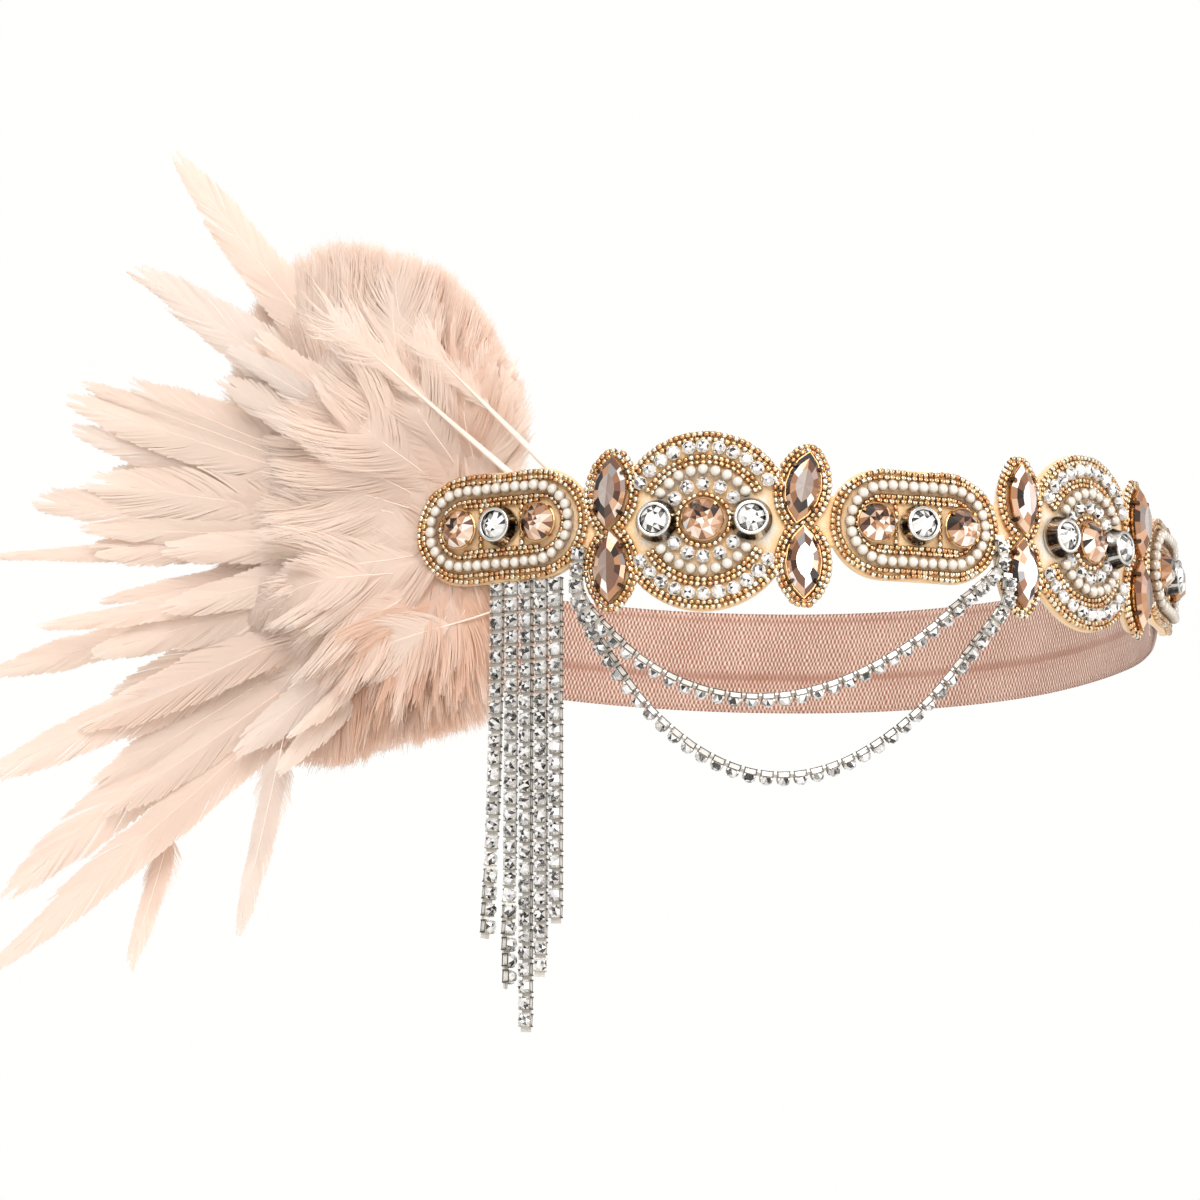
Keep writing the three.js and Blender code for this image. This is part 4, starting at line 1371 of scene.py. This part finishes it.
plume = {
    "along": -91.0, "inset": 2.7, "clearWide": 13.0, "clearHigh": 11.0, "clearFrom": 0.95, "clearTo": 2.4,
    "swellFrom": 0.08, "swellSpan": 0.8, "swellPower": 0.9,
}
plumeOut = outward(np.array(plume["along"]))
plumeAway = np.cross(plumeOut, upward)
plumeRoot = onBand(plume["along"], ovals[0].rise, -plume["inset"])
plainFeather = {  # u and v are the root's place away from the oval and up; angles are in degrees
    "u": 0.0, "v": 0.0, "out": 0.0, "rise": 0.0, "curl": 0.0, "sweep": 0.0, "bulge": 0.0, "roll": 0.0,
    "tone": 0.4, "quill": 0.13, "bare": 1.0, "style": {},
}
hackles = [  # angle, length, width, sweep, curl, tone
    (48, 104.5, 11.5, 4, 5, 0.3), (44, 60, 8, -6, 14, 0.95), (42.5, 91, 13, -7, 10, 0.9),
    (22.6, 92, 8, 0, 10, 0.5), (20.2, 92, 13, 0, 10, 0.6), (15, 91, 12, 3, 8, 0.85),
    (10, 80, 16, 1, 10, 0.4), (5, 93, 13, 4, 12, 0.4), (3.5, 84, 8, 1, 11, 0.5),
    (1.5, 107, 6, 0, 10, 0.2), (-5.5, 82, 7, 0, 8, 0.5), (-11, 91, 8, 4, 16, 0.3),
    (-11.2, 111, 10, 1, 8, 0.75), (-21.3, 111, 14, -1, 14, 0.6), (-24.5, 119, 15, -17, 10, 0.2),
    (-36.5, 130, 12, -4.5, 16, 0.3), (-50, 52, 7, 3, 10, 0.3),
]
hackleRoll = {"step": 47, "span": 30, "middle": 15.0}
hanging = [  # angle, length, width, sweep, curl, tone, u, v, out of two hackles that hang straight down
    (-76.0, 44.0, 6.5, -2.0, 4.0, 0.9, 41.0, -32.0, 4.0),
    (-74.0, 30.0, 6.0, -1.0, 4.0, 0.4, 69.0, -50.0, 2.0),
]
fills = [  # angle, length, width of the shorter hackles between them
    (44, 58, 9), (38, 60, 10), (31, 58, 11), (24, 80, 12), (20, 82, 13), (14, 82, 15), (10, 78, 15),
    (5, 80, 13), (0, 62, 11), (-7, 64, 10), (-13, 82, 11), (-18, 84, 13), (-24, 88, 13), (-29, 92, 13),
    (-34, 92, 12), (-40, 62, 10), (-47, 58, 9),
]
fillSpread = {"seed": 19, "sweep": 2.5, "curl": (2, 12), "tone": (0.1, 0.9), "roll": 12.0}
fluffEdge = np.array([  # angle, how far the down reaches from the root
    (-95, 36.5), (-79, 39.5), (-63, 45.5), (-54, 54), (-40, 64), (-23, 64), (-10, 62), (5, 62), (20, 66),
    (36, 72), (45, 75), (55, 74), (60, 72), (64, 68), (73, 60), (82, 53.5), (90, 43), (100, 33.5),
    (115, 26), (145, 25),
])
vane = {
    "start": 0.2, "end": 0.995, "spacing": 0.27, "steps": 4, "thick": 0.42, "taper": 0.85, "least": 1.0,
    "clumps": 8.0, "clumpLean": 1.6, "clumpReach": 0.07, "split": 0.96, "ragged": 0.02, "fold": 0.16,
    "tilt": 0.02, "droop": -0.08, "wave": 0.0, "twist": 0.03, "tile": 0.16,
    "straightEdge": True, "trimmed": False,
    "widthAt": [0, 0.3, 0.55, 0.78, 0.92, 1.0], "width": [0.6, 1.0, 1.0, 0.8, 0.45, 0.16],
    "leanAt": [0, 0.5, 0.9, 1.0], "lean": [50, 36, 22, 13],
}
down = {
    "start": 0.12, "end": 0.99, "spacing": 0.12, "steps": 5, "thick": 0.17, "taper": 0.5, "least": 0.7,
    "clumps": 11.0, "clumpLean": 4.0, "clumpReach": 0.06, "split": 0.3, "ragged": 0.06, "fold": 0.24,
    "tilt": 0.035, "droop": -0.16, "wave": 0.02, "twist": 0.1, "tile": 0.05,
    "straightEdge": False, "trimmed": True,
    "widthAt": [0, 0.15, 0.5, 0.85, 1.0], "width": [0.6, 1.1, 1.3, 1.15, 0.72],
    "leanAt": [0, 0.5, 0.86, 1.0], "lean": [58, 48, 42, 20],
}
skirt = {
    **down, "trimmed": False, "start": 0.2, "end": 0.7, "spacing": 0.18,
    "widthAt": [0, 0.3, 0.7], "width": [1.5, 1.9, 0.9],
}
rounded = {**down, "start": 0.5, "ragged": 0.04, "clumpReach": 0.03, "width": [0.6, 1.1, 1.4, 1.3, 1.0]}
tousled = {**down, "start": 0.2, "clumpLean": 8.0, "tilt": 0.07}
wisp = {
    "start": 0.45, "clumpLean": 10.0, "ragged": 0.3, "tilt": 0.14, "spacing": 0.16,
    "widthAt": [0.45, 0.8, 1.0], "width": [0.1, 0.9, 0.7],
}
shownQuills = [  # u, v, angle, length, width, rise, out, bulge, quill, bare, style
    (-9.5, 9.0, 46.0, 45.5, 16.0, 20.0, 0.6, 0.0, 0.7, 0.8, wisp),
    (-17.5, 9.8, 49.9, 34.0, 14.0, 14.0, 0.6, 0.0, 0.75, 0.85, wisp),
    (0.0, 12.6, 16.9, 36.0, 15.0, 0.0, 0.0, 9.0, 0.3, 1.0, {"start": 0.3}),
    (-10.0, -14.6, -15.8, 42.0, 15.0, 0.0, 0.0, 8.0, 0.2, 1.0, {"start": 0.35}),
    (5.0, -5.2, -9.2, 46.0, 14.0, 0.0, 0.0, 12.5, 0.14, 1.0, {"start": 0.35}),
]
barb = {
    "samples": 120, "usualSteep": 0.64, "otherSide": 40, "locks": 90,
    "leanSpread": 0.03, "leastLean": 0.12, "edgeLean": 0.25, "tiltSpread": 0.4, "foldAside": 0.7,
    "trimSpread": 0.9, "leastTrim": 0.12, "ripples": 7.0, "rippleLift": 0.7,
    "thickAt": [0, 0.55, 1], "waist": 0.9, "thickSpread": (0.8, 1.2), "fullSteep": 0.6, "mostThick": 1.1,
    "lockTone": 0.5, "lockToneSpread": 0.2, "lockShare": 0.6, "ownShare": 0.4,
}


def shaftAt(feather, share):
    share = np.maximum(share, 0.0)
    angle = math.radians(feather["angle"])
    run = feather["length"] * share
    side = feather["sweep"] * share ** 2
    u = feather["u"] + run * math.cos(angle) - side * math.sin(angle)
    v = feather["v"] + run * math.sin(angle) + side * math.cos(angle)
    past = np.hypot(u / plume["clearWide"], v / plume["clearHigh"])
    clear = smoothstep(past, plume["clearFrom"], plume["clearTo"])  # past the oval's edge it may rise
    swell = plume["swellFrom"] + plume["swellSpan"] * share ** plume["swellPower"]
    swell = np.sin(np.pi * np.minimum(1.0, swell))
    n = feather["out"] + feather["rise"] * share + feather["curl"] * share ** 2
    n = n + feather["bulge"] * swell * clear
    return plumeRoot + u[..., None] * plumeAway + v[..., None] * upward + n[..., None] * plumeOut


def shaftFrame(feather, share, reach=0.004):
    ahead = unit(shaftAt(feather, share + reach) - shaftAt(feather, share - reach))
    roll = math.radians(feather["roll"])
    aside = unit(np.cross(plumeOut, ahead))
    face = np.cross(ahead, aside)
    tilted = face * math.cos(roll) + aside * math.sin(roll)
    return shaftAt(feather, share), ahead, np.cross(tilted, ahead), tilted


def pastEdge(points):
    off = points - plumeRoot
    u, v = off @ plumeAway, off @ upward
    return np.hypot(u, v) - np.interp(np.degrees(np.arctan2(v, u)), *fluffEdge.T)


def growBarbs(feather, style, dice):
    fine = np.linspace(style["start"], style["end"], barb["samples"])
    steep = np.radians(np.interp(fine, style["leanAt"], style["lean"]))
    steep = np.sin(steep)  # flat-lying barbs are set wider apart
    run = feather["length"] * (style["end"] - style["start"])
    count = int(run * steep.mean() / barb["usualSteep"] / style["spacing"])
    share = np.tile(np.interp(np.linspace(0, 1, count), np.cumsum(steep) / steep.sum(), fine), 2)
    side = np.repeat([1.0, -1.0], count)
    total = 2 * count
    spot = share * style["clumps"] + dice.random() + (side > 0) * barb["otherSide"]
    clump = np.floor(spot) + smoothstep(spot % 1.0, style["split"], 1.0)  # barbs cling together in locks

    def drift(amount):
        return np.interp(clump, np.arange(barb["locks"]), dice.normal(0, amount, barb["locks"]))

    lean = np.radians(np.interp(share, style["leanAt"], style["lean"]) + drift(style["clumpLean"]))
    lean = np.maximum(lean + dice.normal(0, barb["leanSpread"], total), barb["leastLean"])
    reach = feather["width"] / 2 * np.interp(share, style["widthAt"], style["width"])
    if style["straightEdge"]:  # a vane's barbs all end on its edge
        reach = reach / np.sin(np.maximum(lean, barb["edgeLean"]))
    reach = reach * (1 + drift(style["clumpReach"])) * (1 + dice.normal(0, style["ragged"], total))
    tilt = drift(style["tilt"]) + dice.normal(0, style["tilt"] * barb["tiltSpread"], total)
    base, ahead, aside, face = shaftFrame(feather, share)
    fold, foldAside = style["fold"], style["fold"] * barb["foldAside"]
    if style["trimmed"]:  # no barb of the down stands past the plume's round edge
        on = reach * (np.cos(lean) + fold)
        off = side * reach * (np.sin(lean) - foldAside)
        inner = pastEdge(base)
        outer = pastEdge(base + on[:, None] * ahead + off[:, None] * aside)
        outer = outer + dice.normal(0, barb["trimSpread"], total)
        kept = np.clip(inner / np.minimum(inner - outer, -0.01), barb["leastTrim"], 1.0)
        reach = np.where(outer > 0, reach * kept, reach)
    s = np.linspace(0, 1, style["steps"] + 1)
    column = (slice(None), None)
    on = reach[column] * (np.cos(lean)[column] * s + fold * s ** 2)
    off = reach[column] * (np.sin(lean)[column] * s - foldAside * s ** 2)
    lift = reach[column] * (tilt[column] * s + style["droop"] * s ** 2)
    phase = dice.random((total, 1)) * 2 * np.pi
    ripple = style["wave"] * reach[column] * s * np.sin(phase + barb["ripples"] * s)
    line = base[:, None] + (on + ripple)[..., None] * ahead[:, None]
    line = line + (side[column] * (off + ripple))[..., None] * aside[:, None]
    line = line + (lift + ripple * barb["rippleLift"])[..., None] * face[:, None]
    grain = np.gradient(line, axis=1)
    over = np.sin(lean)[column] * ahead - (side * np.cos(lean))[column] * aside  # one lies on the next
    leaned = face + over * style["tile"] + aside * dice.normal(0, style["twist"], (total, 1))
    flat = unit(np.cross(grain, leaned[:, None]))
    wide = style["thick"] * np.interp(s, barb["thickAt"], [1.0, barb["waist"], style["taper"]])
    wide = wide * dice.uniform(*barb["thickSpread"], (total, 1))
    wide = wide * np.clip(np.sin(lean) / barb["fullSteep"], style["least"], barb["mostThick"])[column]
    ribbon = np.stack([line - flat * wide[..., None] / 2, line + flat * wide[..., None] / 2], 2)
    shape = ribbon.shape[:3]
    streak = (barb["lockTone"] + drift(barb["lockToneSpread"]))[:, None, None] * barb["lockShare"]
    streak = streak + dice.random((total, 1, 1)) * barb["ownShare"]
    values = {
        "barbShare": np.broadcast_to(s[None, :, None], shape),
        "shaftShare": np.broadcast_to(share[:, None, None], shape),
        "barbTone": np.broadcast_to(streak, shape),
        # the feather's tone, with painted shade taken off it for the lower and upper down
        "featherTone": np.full(shape, feather["tone"]),
        "vaneShare": np.full(shape, 1.0 if style["straightEdge"] else 0.0),
    }
    return ribbon, values


def addFeathers(name, feathers, style, seedNumber, replaced=()):
    dice = np.random.default_rng(seedNumber)
    points, faces, values, start = [], [], {}, 0
    for feather in feathers:
        ribbon, own = growBarbs(feather, {**style, **feather["style"]}, dice)
        barbs, rows = ribbon.shape[:2]
        a = (np.arange(barbs)[:, None] * rows + np.arange(rows - 1)[None, :]).ravel() * 2 + start
        faces.append(np.stack([a, a + 1, a + 3, a + 2], -1))
        points.append(ribbon.reshape(-1, 3))
        for key, row in own.items():
            values.setdefault(key, []).append(row.ravel())
        start += barbs * rows * 2
    values = {key: np.concatenate(rows) for key, rows in values.items()}
    faces = np.concatenate(faces)
    mesh = arrayMesh(name, np.concatenate(points), [faces], True, values)
    print("headpiece: %s, %d feathers, %d triangles" % (name, len(feathers), len(faces) * 2))
    return addPiece(name, mesh, "feather", replaced)


quill = {"sides": 6, "steps": 16, "end": 0.97, "taper": 0.7, "least": 0.04}


def addQuills(name, feathers):
    sides, steps = quill["sides"], quill["steps"]
    share = np.linspace(0.0, quill["end"], steps)
    angle = 2 * np.pi * np.arange(sides) / sides
    floor, last = steps * sides, (steps - 1) * sides
    grid = gridFaces(steps, sides)
    caps = np.concatenate([fanFaces(floor, 0, sides, True), fanFaces(floor + 1, last, sides)])
    points, starts = [], (floor + 2) * np.arange(len(feathers))[:, None, None]
    for feather in feathers:
        line, _, aside, face = shaftFrame(feather, share)
        thick = feather["quill"] * np.maximum(0, 1 - share / feather["bare"]) ** quill["taper"]
        thick = thick + quill["least"]
        ring = aside[:, None] * np.cos(angle)[None, :, None] + face[:, None] * np.sin(angle)[None, :, None]
        tube = line[:, None] + ring * thick[:, None, None]
        points += [tube.reshape(-1, 3), line[:1], line[-1:]]
    sets = [(grid + starts).reshape(-1, 4), (caps + starts).reshape(-1, 3)]
    shares = np.tile(np.concatenate([np.repeat(share, sides), [0.0, 1.0]]), len(feathers))
    mesh = arrayMesh(name, np.concatenate(points), sets, True, {"shaftShare": shares})
    return addPiece(name, mesh, "quill")


downLook = {
    "span": (95.0, -84.0), "angleSpread": 40, "tip": 0.18, "quill": 0.14,
    "reaches": [30, 70], "widths": [16.0, 27.0], "bulges": [0.5, 1.0],
    "widthSpread": (0.9, 1.1), "sweepSpread": 0.06, "bulgeSpread": (0.8, 1.15), "outSpread": 0.3,
    "rollSpread": 9.0, "tones": (0.0, 0.75),
    # painted shade: the down is darker on the plume's lower side, and a little darker on its upper side
    "lowPaintedShade": 0.95, "lowFrom": (20.0, 50.0), "topPaintedShade": 0.45, "topFrom": (45.0, 75.0),
}
downRings = {  # count, share of the reach, bulge, out, seed, unevenness
    "back": (20, 1.0, 2.0, -0.9, 23, 0.08),
    "edge": (34, 1.0, 3.5, -0.5, 31, 0.03),  # rounds off the plume's edge
    "middle": (20, 0.95, 6.0, 0.0, 29, 0.08),
    "front": (20, 0.82, 10.5, 0.3, 37, 0.08),
    "root": (18, 0.58, 7.5, 1.2, 43, 0.08),  # short down that hides where the quills start
}


def downFeathers(count, shorten, bulge, out, seedNumber, uneven):
    look = downLook
    dice = np.random.default_rng(seedNumber)
    angles = np.linspace(*look["span"], count) + dice.normal(0, look["angleSpread"] * uneven, count)
    feathers = []
    for angle in angles:
        reach = np.interp(angle, *fluffEdge.T)
        width = np.interp(reach, look["reaches"], look["widths"])
        full = bulge * np.interp(reach, look["reaches"], look["bulges"])
        tip = width * look["tip"]  # how far the last barbs stand past the shaft
        # painted shade on the lower and upper down, taken off the tone
        crease = look["lowPaintedShade"] * smoothstep(-angle, *look["lowFrom"])
        topPaintedShade = look["topPaintedShade"] * smoothstep(angle, *look["topFrom"])
        feathers.append({
            **plainFeather,
            "angle": angle,
            "length": reach * shorten * dice.uniform(1 - uneven, 1.0) - tip,
            "width": width * dice.uniform(*look["widthSpread"]),
            "sweep": dice.normal(0, look["sweepSpread"]) * reach,
            "bulge": full * dice.uniform(*look["bulgeSpread"]),
            "out": out + dice.uniform(-look["outSpread"], look["outSpread"]),
            "roll": dice.normal(0, look["rollSpread"]),
            "quill": look["quill"],
            "tone": dice.uniform(*look["tones"]) - crease - topPaintedShade,
        })
    return feathers


def feathersFrom(keys, rows):
    return [{**plainFeather, **dict(zip(keys.split(), row))} for row in rows]


longHackles = feathersFrom("angle length width sweep curl tone", hackles)
for k, feather in enumerate(longHackles):
    feather["roll"] = k * hackleRoll["step"] % hackleRoll["span"] - hackleRoll["middle"]
longHackles += feathersFrom("angle length width sweep curl tone u v out", hanging)
fillHackles = feathersFrom("angle length width", fills)
fillDice = np.random.default_rng(fillSpread["seed"])
for feather in fillHackles:
    feather["sweep"] = fillDice.normal(0, fillSpread["sweep"])
    feather["curl"] = fillDice.uniform(*fillSpread["curl"])
    feather["tone"] = fillDice.uniform(*fillSpread["tone"])
    feather["roll"] = fillDice.normal(0, fillSpread["roll"])
bareQuills = feathersFrom("u v angle length width rise out bulge quill bare style", shownQuills)
ringsOf = {key: downFeathers(*row) for key, row in downRings.items()}
layers = [  # piece, feathers, style, seed, nodes that it replaces
    ("hackle_vanes", longHackles, vane, 101, ["feather_plume"]),
    ("hackle_fill", fillHackles, vane, 103, []),
    ("hackle_skirts", longHackles + fillHackles, skirt, 105, []),
    ("down_back", ringsOf["back"], down, 107, []),
    ("down_edge", ringsOf["edge"], rounded, 108, []),
    ("down_middle", ringsOf["middle"], down, 109, []),
    ("down_front", ringsOf["front"] + bareQuills, down, 113, []),
    ("down_root", ringsOf["root"], tousled, 127, []),
]
for layer in layers:
    addFeathers(*layer)
withQuills = longHackles + fillHackles + ringsOf["back"] + ringsOf["middle"] + ringsOf["front"] + bareQuills
addQuills("feather_quills", withQuills)


# Camera, floor and soft light

shot = {
    "turn": -22.5, "lift": 9.3, "distance": 1.25, "across": -148.0, "down": 7.0,
    "focal": 6053.0, "frame": 1200, "sensor": 36.0, "clip": (0.05, 50.0),
}
floorSize = {"height": -0.26, "half": 4.0}
lamps = [  # name, place, width, height, power, colour
    ("key", (-0.7, -1.3, 1.0), 1.1, 1.1, 18.0, (1.0, 0.985, 0.97)),
    ("fill", (1.3, -1.0, 0.35), 0.7, 1.1, 8.0, (1.0, 0.99, 0.98)),
    ("rim", (0.2, 1.2, 1.1), 1.2, 0.6, 9.0, (1.0, 0.99, 0.98)),
    ("strip", (-0.25, -1.5, 0.15), 0.16, 0.9, 3.5, (1.0, 1.0, 1.0)),
]
sky = {"power": 1.5, "above": 0.66, "front": -0.1, "least": 0.2, "seen": (1.0, 1.0, 0.985)}


def aimed(thing, place, look):
    thing.location = place
    thing.rotation_mode = "QUATERNION"
    thing.rotation_quaternion = look.to_track_quat("-Z", "Y")


def makeCamera():
    turn, lift = math.radians(shot["turn"]), math.radians(shot["lift"])
    ahead = Vector((-math.sin(turn) * math.cos(lift), math.cos(turn) * math.cos(lift), math.sin(lift)))
    right = Vector((math.cos(turn), math.sin(turn), 0.0))
    over = right.cross(ahead)
    look = ahead * shot["focal"] + right * shot["across"] - over * shot["down"]
    data = bpy.data.cameras.new("photo_camera")
    data.sensor_width = shot["sensor"]
    data.lens = shot["sensor"] * shot["focal"] / shot["frame"]
    data.clip_start, data.clip_end = shot["clip"]
    camera = newObject("photo_camera", data)
    aimed(camera, ahead * -shot["distance"], look)
    bpy.context.scene.camera = camera


def makeFloor():
    height, half = floorSize["height"], floorSize["half"]
    mesh = bpy.data.meshes.new("studio_floor")
    corners = [(-half, -half, height), (half, -half, height), (half, half, height), (-half, half, height)]
    mesh.from_pydata(corners, [], [(0, 1, 2, 3)])
    floor = newObject("studio_floor", mesh)
    mesh.materials.append(newFinish("pale_floor", grainPaint, floorLook))


def makeLights():
    for name, place, width, height, power, colour in lamps:
        data = bpy.data.lights.new(name, "AREA")
        data.shape = "RECTANGLE"
        data.size, data.size_y = width, height
        data.energy = power
        data.color = colour
        aimed(newObject(name, data), place, -Vector(place))
    world = bpy.data.worlds.new("studio")
    bpy.context.scene.world = world
    world.use_nodes = True
    board = Board(world.node_tree)
    seen = board.node("ShaderNodeLightPath", out="Is Camera Ray")
    around = board.node("ShaderNodeTexCoord", out="Generated")
    ways = board.node("ShaderNodeSeparateXYZ", {}, {0: around}, out="Z")
    level = (ways * 0.5 + 0.5) ** sky["power"] * sky["above"]  # soft light from above and in front
    level = level + ways.also("Y") * sky["front"] + sky["least"]
    colour = board.mix(level, sky["seen"], seen)
    light = board.node("ShaderNodeBackground", {}, {"Color": colour, "Strength": 1.0})
    board.node("ShaderNodeOutputWorld", {}, {"Surface": light})
    bpy.context.scene.view_settings.view_transform = "Standard"


makeCamera()
makeFloor()
makeLights()
print("headpiece: camera, floor and lights placed")
